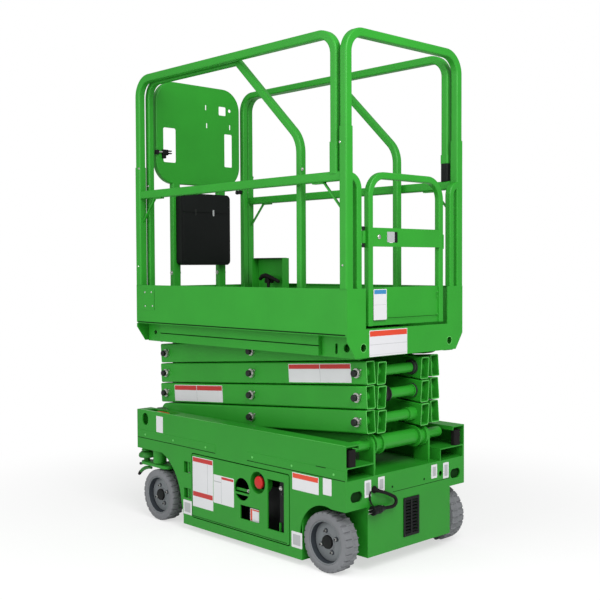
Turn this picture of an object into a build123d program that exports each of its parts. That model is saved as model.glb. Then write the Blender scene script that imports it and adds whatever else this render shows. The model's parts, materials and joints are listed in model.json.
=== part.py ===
from build123d import *
import os
from math import asin, atan2, cos, degrees, hypot, radians, sin, tan

# Self-propelled electric scissor lift, four scissor stages, roll-out deck extension.
# Millimetres. +X is forward (steering end), +Y is left, +Z is up.
# The origin is on the ground, below the middle of the machine.

os.makedirs("parts", exist_ok=True)

# ---- overall ----
half_length = 725            # rear face of the chassis and of the platform, and front face of the platform
chassis_half_width = 383
platform_half_width = 370
plate = 6                    # chassis and beam plate
sheet = 4                    # platform sheet
running_gap = 5              # between pieces that move past each other
seat_gap = 0.3               # a sliding piece over what carries it
pin_play = 0.05              # radial play of a pin in its bush

# ---- wheels and steering ----
wheel_radius = 124
axle_height = wheel_radius
tyre_width = 80
tyre_outer_y = chassis_half_width - 1
rim_radius = 88
hub_radius = 46
spindle_radius = 20
rear_axle_x = -half_length + 119
front_axle_x = half_length - 183
kingpin_x = front_axle_x + 36
kingpin_y = tyre_outer_y - tyre_width / 2
kingpin_radius = 15
kingpin_tube_radius = 33
knuckle_plate = 14
steer_arm = 112              # kingpin to the tie rod's ball joint
tie_rod_radius = 12

# ---- chassis ----
chassis_front = half_length - 14
inner_wall_y = chassis_half_width - plate
fork_bottom = 383
fork_height = 58
fork_top = fork_bottom + fork_height
fork_inner_y = inner_wall_y - 165
fork_wall = 5
channel_top = fork_top + 88
flange_inner_y = inner_wall_y - 77
lip_height = 18
skirt_bottom = 25
front_edge_bottom = fork_bottom - 46
rear_edge_bottom = fork_bottom - 116
tub_front = front_axle_x - 209
tub_rear = rear_axle_x + wheel_radius + running_gap
arch_gap = 24                # wheel arch over the tyre
rear_box_middle_y = -13
rear_box_half_width = 267
rear_box_bottom = 60
deck_plate = 6
door_front, door_rear = tub_front - 65, tub_rear + 73
door_bottom, door_top = skirt_bottom + 41, fork_bottom - 13
door_hinge_x, door_hinge_y = door_front + 35, chassis_half_width - 14
goose_depth, goose_reach = 46, 50       # door hinge arms hook round the edge of the opening
door_gap = 5
door_pin_radius = 5
tray_depth = 255
tray_sheet = 4
track_width = 40
track_length = 400
stop_cup_radius, stop_cup_depth = 48, 34
cord_hole_y, cord_hole_z = fork_inner_y + 4, fork_bottom - 50
tie_down_y, tie_down_z = chassis_half_width - 64, fork_bottom - 64
vent_y, vent_z = rear_box_middle_y - 4, rear_box_bottom + 124
vent_width, vent_height = 102, 164
vent_margin = 12             # vent frame around its window
cord_hole_radius = 12

# ---- scissor stack ----
stages = 4
stage_pitch = 100            # height of one folded stage
pivot_inset = 73             # rear pivots from the rear faces
arm_length = 2 * half_length - 130      # pivot to pivot
base_pivot_z = fork_top + 60
rear_pivot_x = -half_length + pivot_inset
arm_width = 52
arm_height = stage_pitch - running_gap
arm_wall = 5
arm_side_gap = 16            # between the inner and the outer arms
inner_arm_y = 113            # inner face of the inner arms
outer_arm_y = inner_arm_y + arm_width + arm_side_gap
arm_overhang = 48            # open tube end beyond the pivot
eye_plate = 9                # plates of the lowest arms' round eyes
eye_setback = 66             # tube ends this far from an eye's centre
pin_radius = 15
bush_radius = 23
head_radius = 20
head_length = 10
cross_tube_radius = 22
sleeve_radius = 28
base_tube_radius = 33
roller_radius = 27
roller_width = 32
base_roller_radius = 30
lift_limit = 35.65           # degrees that the lowest arm rises

# ---- lift cylinder ----
base_eye_distance, base_eye_height = 130, 27     # along and above the lowest inner arms
rod_eye_distance, rod_eye_height = 1130, -27     # along and below the second inner arms
lug_tube_radius = 20
cylinder_pin_radius = 12
eye_radius = 26
eye_half_width = 21
lug_inner_y, lug_outer_y = 26, 38
lug_radius = 24
barrel_radius = 36
rod_radius = 20
rod_show = 95                # rod length left outside the barrel when folded

# ---- platform ----
floor_top = base_pivot_z + stages * stage_pitch + 61
toe_top = floor_top + 185
end_plate_bottom = floor_top - 92
corner_chamfer_y, corner_chamfer_z = 48, 70
gate_opening_half = platform_half_width - 108
gate_opening_bottom = floor_top + 22
beam_web_y = platform_half_width - 70            # inner face of the platform's side beams
beam_flange_y = beam_web_y - 50
beam_flare = 18              # side beam proud of its web
platform_eye_y, platform_eye_z, platform_eye_radius = platform_half_width - 94, floor_top - 52, 16

# ---- guard rails ----
post_size = 41
rail_size = 36
rail_y = platform_half_width - 18
corner_radius = 7
bend_radius = 85
post_x = half_length - post_size / 2
mid_rail_z = floor_top + 630
mid_rail_height = 38
top_rail_z = floor_top + 1197
rear_sleeve_top = mid_rail_z + 193
side_sleeve_top = mid_rail_z + 136
loop_stop_top = mid_rail_z + 98
loop_rear_x = -half_length + 75
j_post_y = platform_half_width - 74
j_post_size = 30
j_post_bend = 48

# ---- gate ----
gate_half_width = gate_opening_half - 22
gate_bottom = gate_opening_bottom + 11
gate_top = gate_bottom + 622
gate_tube = 29
gate_hinge_y = gate_half_width + 10
gate_hinge_x = -half_length + 25
gate_pin_radius = 5
gate_bar_bottom, gate_bar_top = gate_bottom + 320, gate_bottom + 396
gate_bar_depth = 20
gate_bend = 84
latch_window_y, latch_window_width, latch_window_height = 90, 50, 44
kick_plate_height = 155

# ---- roll-out extension ----
extension_deck_top = floor_top + 23
extension_rear_x = -half_length + 245
extension_half_width = platform_half_width - 48
extension_tube = 32
extension_rail_y = extension_half_width - extension_tube / 2
extension_post_x = half_length - 35
extension_rear_post_x = extension_rear_x + 80
extension_top_z = top_rail_z - 9
extension_step_x, extension_step_z = 5, top_rail_z - 394        # the side rail slopes down to the rear post
extension_bends = [80, 30, 130]
extension_front_top = toe_top - 7
slide_pad_y, slide_pad_width, slide_pad_length = extension_half_width - 22, 16, 1100
slide_pad_setback = 25
deck_edge_height = 13
guard_x = half_length - 25
guard_half_width = platform_half_width - 98
guard_bottom, guard_top = extension_deck_top + 673, extension_deck_top + 1189
guard_bend = 95
guard_sheet = 3
leg_inner_y, leg_outer_y = 124, 172
manual_box_y, manual_box_drop = -5, 230          # middle of the box, below the guard
manual_box_width, manual_box_height, manual_box_depth = 318, 366, 46
control_tray_x, control_tray_rise = 431, 132     # middle, and height above the toe boards
control_tray_length, control_tray_depth, control_tray_lip = 238, 45, 16

# ---- charging cord ----
cord_radius = 7
plug_radius = 20
plug_rear_y, plug_face_y, plug_z = cord_hole_y - 38, cord_hole_y + 34, cord_hole_z - 78
plug_boot_length = 24
plug_pin_radius, plug_pin_length, plug_pin_spacing = 3, 26, 19

# ---- worked out from the above ----
fold = asin(stage_pitch / arm_length)        # slope of the folded arms
fold_cos, fold_sin = cos(fold), sin(fold)
front_pivot_x = rear_pivot_x + arm_length * fold_cos
middle_x = (rear_pivot_x + front_pivot_x) / 2


def level(k):
    """Height of the pivots at level k of the stack, from 0 at the chassis to 4 at the platform."""
    return base_pivot_z + k * stage_pitch


def finish_piece(piece, name):
    piece.part.label = name
    export_step(piece.part, f"parts/{name}.step")


def side_plane(y):
    """Sketch plane at y whose local axes are X and Z; an extrusion goes towards -Y."""
    return Plane.XZ.offset(-y)


def cross_plane(x):
    """Sketch plane at x whose local axes are Y and Z; an extrusion goes towards +X."""
    return Plane.YZ.offset(x)


def bent_tube(plane, points, bend, size, height=None):
    """A square tube, closed at its ends, along a path in a plane; bends share one radius or have a list."""
    with BuildPart() as tube:
        with BuildLine(plane) as path:
            FilletPolyline(*points, radius=bend)
        start = Plane(origin=path.line @ 0, x_dir=plane.z_dir, z_dir=path.line % 0)
        with BuildSketch(start):
            RectangleRounded(size, height or size, corner_radius)
        sweep()
    return tube.part


def upright(x, y, bottom, top, size):
    """A vertical square post."""
    with BuildPart() as post:
        with BuildSketch(Plane.XY.offset(bottom)):
            with Locations((x, y)):
                RectangleRounded(size, size, corner_radius)
        extrude(amount=top - bottom)
    return post.part


def cross_cylinder(x, z, y0, y1, radius):
    """A round bar along Y from y0 to y1."""
    with BuildPart() as bar:
        with BuildSketch(side_plane(max(y0, y1))):
            with Locations((x, z)):
                Circle(radius)
        extrude(amount=abs(y1 - y0))
    return bar.part


# ======================= chassis =======================

def side_wall_outline():
    """Side wall of the chassis with both wheel arches, drawn in X and Z."""
    arch_x, arch_radius = rear_axle_x, wheel_radius + arch_gap
    rear_arch_top_x = arch_x - 42
    with BuildLine() as outline:
        Line((chassis_front, front_edge_bottom), (chassis_front, channel_top))
        Line((chassis_front, channel_top), (-half_length, channel_top))
        Line((-half_length, channel_top), (-half_length, rear_edge_bottom))
        Line((-half_length, rear_edge_bottom), (rear_arch_top_x, rear_edge_bottom))
        ThreePointArc(
            (rear_arch_top_x, rear_edge_bottom),
            (arch_x + 0.6 * arch_radius, axle_height + 0.8 * arch_radius),
            (tub_rear, axle_height - 50),
        )
        Line((tub_rear, axle_height - 50), (tub_rear, skirt_bottom))
        Line((tub_rear, skirt_bottom), (tub_front, skirt_bottom))
        Line((tub_front, skirt_bottom), (tub_front, 60))
        Line((tub_front, 60), (tub_front + 19, 140))
        ThreePointArc((tub_front + 19, 140), (tub_front + 84, 279), (tub_front + 170, front_edge_bottom))
        Line((tub_front + 170, front_edge_bottom), (chassis_front, front_edge_bottom))
    return outline.line


# columns: name, side (+1 left, -1 right)
sides = [("left", 1), ("right", -1)]
track_middle_y = outer_arm_y + arm_width + 37

# hinge pockets in the side wall: middle z, height
hinge_pockets = [(door_top - 74, 53), (door_top - 196, 46)]
hinge_pocket_width = 50

for side_name, side in sides:
    wall_plane = side_plane(chassis_half_width if side > 0 else -inner_wall_y)
    tube_middle_y = side * (fork_inner_y + inner_wall_y) / 2
    tube_width = inner_wall_y - fork_inner_y
    tube_middle_z = (fork_bottom + fork_top) / 2
    with BuildPart() as chassis_side:
        with BuildSketch(wall_plane):
            with BuildLine():
                add(side_wall_outline())
            make_face()
            with Locations(((door_front + door_rear) / 2, (door_bottom + door_top) / 2)):
                RectangleRounded(door_front - door_rear, door_top - door_bottom, 12, mode=Mode.SUBTRACT)
            for pocket_z, pocket_height in hinge_pockets:
                with Locations((door_hinge_x, pocket_z)):
                    Rectangle(hinge_pocket_width, pocket_height, mode=Mode.SUBTRACT)
            with Locations((chassis_front - 69, channel_top - 43)):
                SlotOverall(60, 50, rotation=90, mode=Mode.SUBTRACT)
        extrude(amount=plate)
        # open-ended fork tube along the whole side
        with BuildSketch(cross_plane(-half_length)):
            with Locations((tube_middle_y, tube_middle_z)):
                Rectangle(tube_width, fork_top - fork_bottom)
                Rectangle(tube_width - 2 * fork_wall, fork_top - fork_bottom - 2 * fork_wall,
                          mode=Mode.SUBTRACT)
        extrude(amount=half_length + chassis_front - plate)
        # top flange with its turned-down lip
        with BuildSketch(cross_plane(-half_length)):
            with BuildLine():
                Polyline(
                    (side * inner_wall_y, channel_top),
                    (side * flange_inner_y, channel_top),
                    (side * flange_inner_y, channel_top - lip_height),
                    (side * (flange_inner_y + plate), channel_top - lip_height),
                    (side * (flange_inner_y + plate), channel_top - plate),
                    (side * inner_wall_y, channel_top - plate),
                    close=True,
                )
            make_face()
        extrude(amount=half_length + chassis_front - plate)
        # opening in the top flange at the front
        with BuildSketch(Plane.XY.offset(channel_top)):
            with Locations((chassis_front - 166, side * (flange_inner_y + inner_wall_y) / 2)):
                Rectangle(220, inner_wall_y - flange_inner_y - 28)
        extrude(amount=-plate, mode=Mode.SUBTRACT)
        # raised track for the lowest front roller
        with BuildSketch(Plane.XY.offset(fork_top)):
            with Locations((front_pivot_x + base_roller_radius + 6 - track_length / 2, side * track_middle_y)):
                Rectangle(track_length, track_width)
        extrude(amount=base_pivot_z - base_roller_radius - seat_gap - fork_top)
    finish_piece(chassis_side, f"chassis_side_{side_name}")

base_lug_y, base_lug_thick, base_lug_radius = inner_arm_y + arm_width + running_gap, 12, 40
with BuildPart() as chassis_deck:
    # top plate between the fork tubes
    with BuildSketch(Plane.XY.offset(fork_bottom)):
        with Locations(((chassis_front - plate - half_length) / 2, 0)):
            Rectangle(chassis_front - plate + half_length, 2 * fork_inner_y)
    extrude(amount=deck_plate)
    # rear plate with tie-down slots and cord holes
    with BuildSketch(cross_plane(-half_length)):
        with Locations((0, (rear_edge_bottom + fork_bottom) / 2)):
            Rectangle(2 * inner_wall_y, fork_bottom - rear_edge_bottom)
        with Locations((tie_down_y, tie_down_z), (-tie_down_y, tie_down_z)):
            SlotOverall(70, 42, mode=Mode.SUBTRACT)
        with Locations((cord_hole_y, cord_hole_z), (-cord_hole_y, cord_hole_z)):
            Circle(cord_hole_radius, mode=Mode.SUBTRACT)
    extrude(amount=plate)
    # front plate, low between the arms
    with BuildSketch(cross_plane(chassis_front - plate)):
        with BuildLine():
            Polyline(
                (-inner_wall_y, front_edge_bottom),
                (inner_wall_y, front_edge_bottom),
                (inner_wall_y, channel_top),
                (flange_inner_y, channel_top),
                (flange_inner_y, fork_top),
                (-flange_inner_y, fork_top),
                (-flange_inner_y, channel_top),
                (-inner_wall_y, channel_top),
                close=True,
            )
        make_face()
    extrude(amount=plate)
finish_piece(chassis_deck, "chassis_deck")

# lugs and pins of the fixed lower pivots, standing on the deck plate
with BuildPart() as base_lugs:
    for side_name, side in sides:
        with BuildSketch(side_plane(base_lug_y + base_lug_thick if side > 0 else -base_lug_y)):
            with Locations((rear_pivot_x, base_pivot_z)):
                Circle(base_lug_radius)
            with Locations((rear_pivot_x, (fork_bottom + deck_plate + base_pivot_z) / 2)):
                Rectangle(2 * base_lug_radius, base_pivot_z - fork_bottom - deck_plate)
        extrude(amount=base_lug_thick)
        add(cross_cylinder(rear_pivot_x, base_pivot_z, side * (inner_arm_y + 4), side * base_lug_y, pin_radius))
        # stub tube from the lug to the rubber buffer's side of the channel
        add(cross_cylinder(rear_pivot_x, base_pivot_z, side * base_lug_y, side * (flange_inner_y - 12),
                           cross_tube_radius))
finish_piece(base_lugs, "base_lugs")

# tub below the deck: open at both sides for the swing-out trays, narrower box behind
window_width, window_height = vent_width - 2 * vent_margin, vent_height - 2 * vent_margin
with BuildPart() as tub:
    with BuildSketch(Plane.XY.offset(skirt_bottom)):
        with Locations(((tub_front + tub_rear) / 2, 0)):
            Rectangle(tub_front - tub_rear, 2 * inner_wall_y)
    extrude(amount=plate)
    for wall_x in (tub_front - plate, tub_rear):
        with BuildSketch(cross_plane(wall_x)):
            with Locations((0, (skirt_bottom + fork_bottom) / 2)):
                Rectangle(2 * inner_wall_y, fork_bottom - skirt_bottom)
        extrude(amount=plate)
    with BuildSketch(side_plane(plate / 2)):
        with Locations(((tub_front + tub_rear) / 2, (skirt_bottom + fork_bottom) / 2)):
            Rectangle(tub_front - tub_rear, fork_bottom - skirt_bottom)
    extrude(amount=plate)
    # rear box, open at the front where it meets the tub's rear wall
    box_middle_x, box_length = (tub_rear - half_length) / 2, tub_rear + half_length
    with BuildSketch(Plane.XY.offset(rear_box_bottom)):
        with Locations((box_middle_x, rear_box_middle_y)):
            Rectangle(box_length, 2 * rear_box_half_width)
            Rectangle(box_length - 2 * plate, 2 * (rear_box_half_width - plate), mode=Mode.SUBTRACT)
    extrude(amount=rear_edge_bottom - rear_box_bottom)
    with BuildSketch(Plane.XY.offset(rear_box_bottom)):
        with Locations((box_middle_x, rear_box_middle_y)):
            Rectangle(box_length, 2 * rear_box_half_width)
    extrude(amount=plate)
    with BuildSketch(Plane.XY.offset(rear_edge_bottom)):
        with Locations((box_middle_x + plate / 2, rear_box_middle_y)):
            Rectangle(box_length - plate, 2 * rear_box_half_width)
        with Locations((box_middle_x, rear_box_middle_y)):
            Rectangle(box_length - 2 * plate, 2 * (rear_box_half_width - plate), mode=Mode.SUBTRACT)
    extrude(amount=fork_bottom - rear_edge_bottom)
    # vent window in the rear wall
    with BuildSketch(cross_plane(-half_length)):
        with Locations((vent_y, vent_z)):
            Rectangle(window_width + 4, window_height + 4)
    extrude(amount=plate, mode=Mode.SUBTRACT)
finish_piece(tub, "tub")

# louvred vent cover: a frame plate with a spine and two columns of slanted blades
vent_sheet, vent_spine, blade_count, blade_rise = 3, 10, 10, 4
with BuildPart() as vent_grille:
    with BuildSketch(cross_plane(-half_length - vent_sheet)):
        with Locations((vent_y, vent_z)):
            RectangleRounded(vent_width, vent_height, 3)
            Rectangle(window_width, window_height, mode=Mode.SUBTRACT)
            Rectangle(vent_spine, window_height)
    extrude(amount=vent_sheet)
    for i in range(blade_count):
        blade_z = vent_z - window_height / 2 + (i + 0.5) * window_height / blade_count
        outer_x, inner_x = -half_length - vent_sheet, -half_length + vent_sheet
        with BuildSketch(side_plane(vent_y + window_width / 2 + 1)):
            with BuildLine():
                Polyline(
                    (outer_x, blade_z - blade_rise), (outer_x + 2, blade_z - blade_rise),
                    (inner_x, blade_z + blade_rise), (inner_x - 2, blade_z + blade_rise), close=True,
                )
            make_face()
        extrude(amount=window_width + 2)
finish_piece(vent_grille, "vent_grille")

# rubber buffers at the rear ends of the side channels, and the charging cord's grommet
grommet_radius, grommet_flange = 15, 4
with BuildPart() as buffer_pads:
    for side_name, side in sides:
        with BuildSketch(Plane.XY.offset(fork_top + seat_gap)):
            with Locations((-half_length + 14, side * (flange_inner_y + inner_wall_y) / 2)):
                RectangleRounded(26, 42, 8)
        extrude(amount=channel_top - lip_height - fork_top - 2)
    with Locations(Location((-half_length, cord_hole_y, cord_hole_z), (0, 90, 0))):
        Cylinder(grommet_radius, grommet_flange, align=(Align.CENTER, Align.CENTER, Align.MAX))
        Cylinder(cord_hole_radius, plate, align=(Align.CENTER, Align.CENTER, Align.MIN))
        Cylinder(cord_radius, 2 * (plate + grommet_flange), mode=Mode.SUBTRACT)
finish_piece(buffer_pads, "buffer_pads")

# ======================= swing-out doors with their trays =======================

tray_front = door_hinge_x - 45
tray_rear = door_hinge_x - 640
tray_floor = door_bottom + 6
tray_wall_height = 80

# round openings: x and z of the middle, radius; square ones: x and z of the middle, width, height
gauge_hole = (door_rear + 309, door_bottom + 191, 50)
stop_hole = (door_rear + 203, door_bottom + 237, stop_cup_radius)
square_hole = (door_rear + 258, door_bottom + 91, 126, 62)
handle_slot = (door_rear + 88, door_bottom + 157, 104, 215)
round_holes = {1: [gauge_hole, stop_hole], -1: [gauge_hole]}
square_holes = {1: [square_hole, handle_slot], -1: [handle_slot]}

for side_name, side in sides:
    panel_plane = side_plane(chassis_half_width if side > 0 else -inner_wall_y)
    with BuildPart() as door:
        with BuildSketch(panel_plane):
            with Locations(((door_front + door_rear) / 2, (door_bottom + door_top) / 2)):
                RectangleRounded(door_front - door_rear - 2 * door_gap, door_top - door_bottom - 2 * door_gap, 8)
            for hole_x, hole_z, hole_radius in round_holes[side]:
                with Locations((hole_x, hole_z)):
                    Circle(hole_radius, mode=Mode.SUBTRACT)
            for hole_x, hole_z, hole_width, hole_height in square_holes[side]:
                with Locations((hole_x, hole_z)):
                    Rectangle(hole_width, hole_height, mode=Mode.SUBTRACT)
        extrude(amount=plate)
        # bar across the round opening
        gauge_x, gauge_z, gauge_radius = gauge_hole
        with BuildSketch(panel_plane):
            with Locations((gauge_x, gauge_z - 20)):
                Rectangle(2 * gauge_radius, 9)
        extrude(amount=plate)
        # cup behind the stop button's opening
        if side > 0:
            stop_x, stop_z, cup_radius = stop_hole
            with BuildSketch(side_plane(inner_wall_y)):
                with Locations((stop_x, stop_z)):
                    Circle(cup_radius + 3)
            extrude(amount=stop_cup_depth)
            with BuildSketch(side_plane(inner_wall_y)):
                with Locations((stop_x, stop_z)):
                    Circle(cup_radius)
            extrude(amount=stop_cup_depth - 3, mode=Mode.SUBTRACT)
        # tray floor and end walls behind the panel
        tray_middle_y = side * (inner_wall_y - tray_depth / 2)
        with BuildSketch(Plane.XY.offset(tray_floor)):
            with Locations(((tray_front + tray_rear) / 2, tray_middle_y)):
                Rectangle(tray_front - tray_rear, tray_depth)
        extrude(amount=tray_sheet)
        for wall_x in (tray_front - tray_sheet, tray_rear):
            with BuildSketch(cross_plane(wall_x)):
                with Locations((tray_middle_y, tray_floor + tray_wall_height / 2)):
                    Rectangle(tray_depth, tray_wall_height)
            extrude(amount=tray_sheet)
        # hinge arms to the hinge axis
        for pocket_z, pocket_height in hinge_pockets:
            with BuildSketch(Plane.XY.offset(pocket_z - pocket_height / 2 + 3)):
                with BuildLine():
                    Polyline(
                        (door_hinge_x, side * door_hinge_y),
                        (door_hinge_x, side * (door_hinge_y - goose_depth)),
                        (door_hinge_x - goose_reach, side * (door_hinge_y - goose_depth)),
                        (door_hinge_x - goose_reach, side * inner_wall_y),
                    )
                trace(line_width=8)
                with Locations((door_hinge_x, side * door_hinge_y)):
                    Circle(door_pin_radius + 4)
            extrude(amount=pocket_height - 6)
        with Locations((door_hinge_x, side * door_hinge_y, 0)):
            Cylinder(door_pin_radius + pin_play, 2 * door_top, mode=Mode.SUBTRACT)
    finish_piece(door, f"door_{side_name}")

# hinge pins of the doors, between brackets on the side walls
with BuildPart() as door_hinges:
    for side_name, side in sides:
        for pocket_z, pocket_height in hinge_pockets:
            for end in (-1, 1):
                z0 = pocket_z + end * (pocket_height / 2 + 3) - 3
                with BuildSketch(Plane.XY.offset(z0)):
                    with Locations((door_hinge_x, side * (inner_wall_y - 10))):
                        Rectangle(24, 20)
                extrude(amount=6)
            with BuildSketch(Plane.XY.offset(pocket_z - pocket_height / 2)):
                with Locations((door_hinge_x, side * door_hinge_y)):
                    Circle(door_pin_radius)
            extrude(amount=pocket_height)
finish_piece(door_hinges, "door_hinges")

# what the trays carry, seated on the tray floors
cargo_floor = tray_floor + tray_sheet
cargo_y = inner_wall_y - stop_cup_depth - running_gap      # outer face of what stands in the trays
with BuildPart() as power_unit:
    # motor and pump in one housing, oil tank, and the charger's case
    with BuildSketch(Plane.XY.offset(cargo_floor)):
        with Locations((tray_front - 110, cargo_y - 95)):
            RectangleRounded(180, 190, 12)
    extrude(amount=220)
    with BuildSketch(Plane.XY.offset(cargo_floor)):
        with Locations((tray_front - 318, cargo_y - 95)):
            Circle(70)
    extrude(amount=150)
    with BuildSketch(Plane.XY.offset(cargo_floor)):
        with Locations((tray_rear + 112, cargo_y - 120)):
            RectangleRounded(170, 170, 6)
    extrude(amount=200)
finish_piece(power_unit, "power_unit")

battery_length, battery_width, battery_height, battery_count = 140, 200, 210, 3
with BuildPart() as batteries:
    for i in range(battery_count):
        battery_x = tray_front - 20 - battery_length / 2 - i * (battery_length + 20)
        with BuildSketch(Plane.XY.offset(cargo_floor)):
            with Locations((battery_x, -(inner_wall_y - 20 - battery_width / 2))):
                RectangleRounded(battery_length, battery_width, 6)
        extrude(amount=battery_height)
finish_piece(batteries, "batteries")

# mushroom button on the bottom of its cup
with BuildPart() as stop_button:
    stop_x, stop_z, cup_radius = stop_hole
    cup_bottom = inner_wall_y - stop_cup_depth + 3
    button_face = chassis_half_width - 1
    with BuildSketch(side_plane(button_face)):
        with Locations((stop_x, stop_z)):
            Circle(26)
    extrude(amount=18)
    with BuildSketch(side_plane(button_face)):
        with Locations((stop_x, stop_z)):
            Circle(13)
    extrude(amount=button_face - cup_bottom)
finish_piece(stop_button, "stop_button")

# ======================= wheels, hubs and steering =======================

# columns: name, axle x, side
wheels = [
    ("front_left", front_axle_x, 1),
    ("front_right", front_axle_x, -1),
    ("rear_left", rear_axle_x, 1),
    ("rear_right", rear_axle_x, -1),
]
tyre_inner_y = tyre_outer_y - tyre_width

for wheel_name, axle_x, side in wheels:
    axle_plane = Plane(origin=(axle_x, 0, axle_height), x_dir=(0, side, 0), z_dir=(1, 0, 0))
    axle = Axis((axle_x, 0, axle_height), (0, side, 0))
    with BuildPart() as tyre:
        with BuildSketch(axle_plane):
            with BuildLine():
                Polyline(
                    (tyre_inner_y + 6, rim_radius), (tyre_outer_y - 6, rim_radius),
                    (tyre_outer_y, rim_radius + 5), (tyre_outer_y, wheel_radius - 8),
                    (tyre_outer_y - 5, wheel_radius - 2), (tyre_outer_y - 14, wheel_radius),
                    (tyre_inner_y + 14, wheel_radius), (tyre_inner_y + 5, wheel_radius - 2),
                    (tyre_inner_y, wheel_radius - 8), (tyre_inner_y, rim_radius + 5), close=True,
                )
            make_face()
        revolve(axis=axle)
    finish_piece(tyre, f"tyre_{wheel_name}")
    with BuildPart() as rim:
        with BuildSketch(axle_plane):
            with BuildLine():
                Polyline(
                    (tyre_inner_y + 6, spindle_radius + pin_play), (tyre_inner_y + 6, rim_radius),
                    (tyre_outer_y - 6, rim_radius), (tyre_outer_y - 6, rim_radius - 6),
                    (tyre_outer_y - 24, rim_radius - 12), (tyre_outer_y - 24, hub_radius - 14),
                    (tyre_outer_y - 10, hub_radius - 18), (tyre_outer_y - 10, spindle_radius + pin_play),
                    close=True,
                )
            make_face()
        revolve(axis=axle)
        cap = Plane(origin=(axle_x, side * (tyre_outer_y - 10), axle_height), z_dir=(0, side, 0))
        with BuildSketch(cap):
            Circle(27)
        extrude(amount=7)
    finish_piece(rim, f"rim_{wheel_name}")

with BuildPart() as rear_hubs:
    for side_name, side in sides:
        box_face_y = rear_box_middle_y + side * rear_box_half_width
        add(cross_cylinder(rear_axle_x, axle_height, box_face_y, side * (tyre_inner_y + 6 - running_gap), 52))
        add(cross_cylinder(rear_axle_x, axle_height, box_face_y, side * (tyre_outer_y - 14), spindle_radius))
finish_piece(rear_hubs, "rear_hubs")

knuckle_bottom = axle_height + wheel_radius + 7
knuckle_top = knuckle_bottom + knuckle_plate
stud_top, stud_radius = knuckle_top + 23, 9
stud_head_radius, stud_head_height = 27, 11
tie_eye_height = 28
hang_plate = 16
for side_name, side in sides:
    with BuildPart() as knuckle:
        # plate over the tyre, from behind the kingpin to the ball stud
        with BuildSketch(Plane.XY.offset(knuckle_bottom)):
            with Locations((kingpin_x + 18, side * kingpin_y)):
                SlotOverall(230, 66)
            with Locations((front_axle_x, side * (kingpin_y - 45))):
                Rectangle(100, 60)
        extrude(amount=knuckle_plate)
        # hanging plate inside the wheel, and its spindle
        hang_y = tyre_inner_y - running_gap if side > 0 else hang_plate + running_gap - tyre_inner_y
        with BuildSketch(side_plane(hang_y)):
            with Locations((front_axle_x, axle_height)):
                Circle(48)
            with Locations((front_axle_x, (axle_height + knuckle_bottom) / 2)):
                Rectangle(96, knuckle_bottom - axle_height)
        extrude(amount=hang_plate)
        add(cross_cylinder(front_axle_x, axle_height, side * (tyre_inner_y - running_gap - 1),
                           side * (tyre_outer_y - 14), spindle_radius))
        # kingpin and ball stud
        with BuildSketch(Plane.XY.offset(knuckle_top)):
            with Locations((kingpin_x, side * kingpin_y)):
                Circle(kingpin_radius)
        extrude(amount=fork_bottom - 4 - knuckle_top)
        with BuildSketch(Plane.XY.offset(knuckle_top)):
            with Locations((kingpin_x + steer_arm, side * kingpin_y)):
                Circle(15)
        extrude(amount=stud_top - knuckle_top)
        with BuildSketch(Plane.XY.offset(stud_top)):
            with Locations((kingpin_x + steer_arm, side * kingpin_y)):
                Circle(stud_radius)
        extrude(amount=tie_eye_height)
        with BuildSketch(Plane.XY.offset(stud_top + tie_eye_height)):
            with Locations((kingpin_x + steer_arm, side * kingpin_y)):
                Circle(stud_head_radius)
        extrude(amount=stud_head_height, taper=25)
    finish_piece(knuckle, f"knuckle_{side_name}")

with BuildPart() as kingpin_tubes:
    for side_name, side in sides:
        with BuildSketch(Plane.XY.offset(knuckle_top + 4)):
            with Locations((kingpin_x, side * kingpin_y)):
                Circle(kingpin_tube_radius)
                Circle(kingpin_radius + pin_play, mode=Mode.SUBTRACT)
        extrude(amount=fork_bottom - knuckle_top - 4)
finish_piece(kingpin_tubes, "kingpin_tubes")

tie_rod_z = stud_top + tie_eye_height / 2
with BuildPart() as tie_rod:
    add(cross_cylinder(kingpin_x + steer_arm, tie_rod_z, -kingpin_y, kingpin_y, tie_rod_radius))
    with BuildSketch(Plane.XY.offset(stud_top + seat_gap)):
        with Locations((kingpin_x + steer_arm, kingpin_y), (kingpin_x + steer_arm, -kingpin_y)):
            Circle(22)
    extrude(amount=tie_eye_height - 2 * seat_gap)
    with BuildSketch(Plane.XY.offset(stud_top)):
        with Locations((kingpin_x + steer_arm, kingpin_y), (kingpin_x + steer_arm, -kingpin_y)):
            Circle(stud_radius + pin_play)
    extrude(amount=tie_eye_height, mode=Mode.SUBTRACT)
finish_piece(tie_rod, "tie_rod")

# ======================= scissor stack =======================

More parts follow.
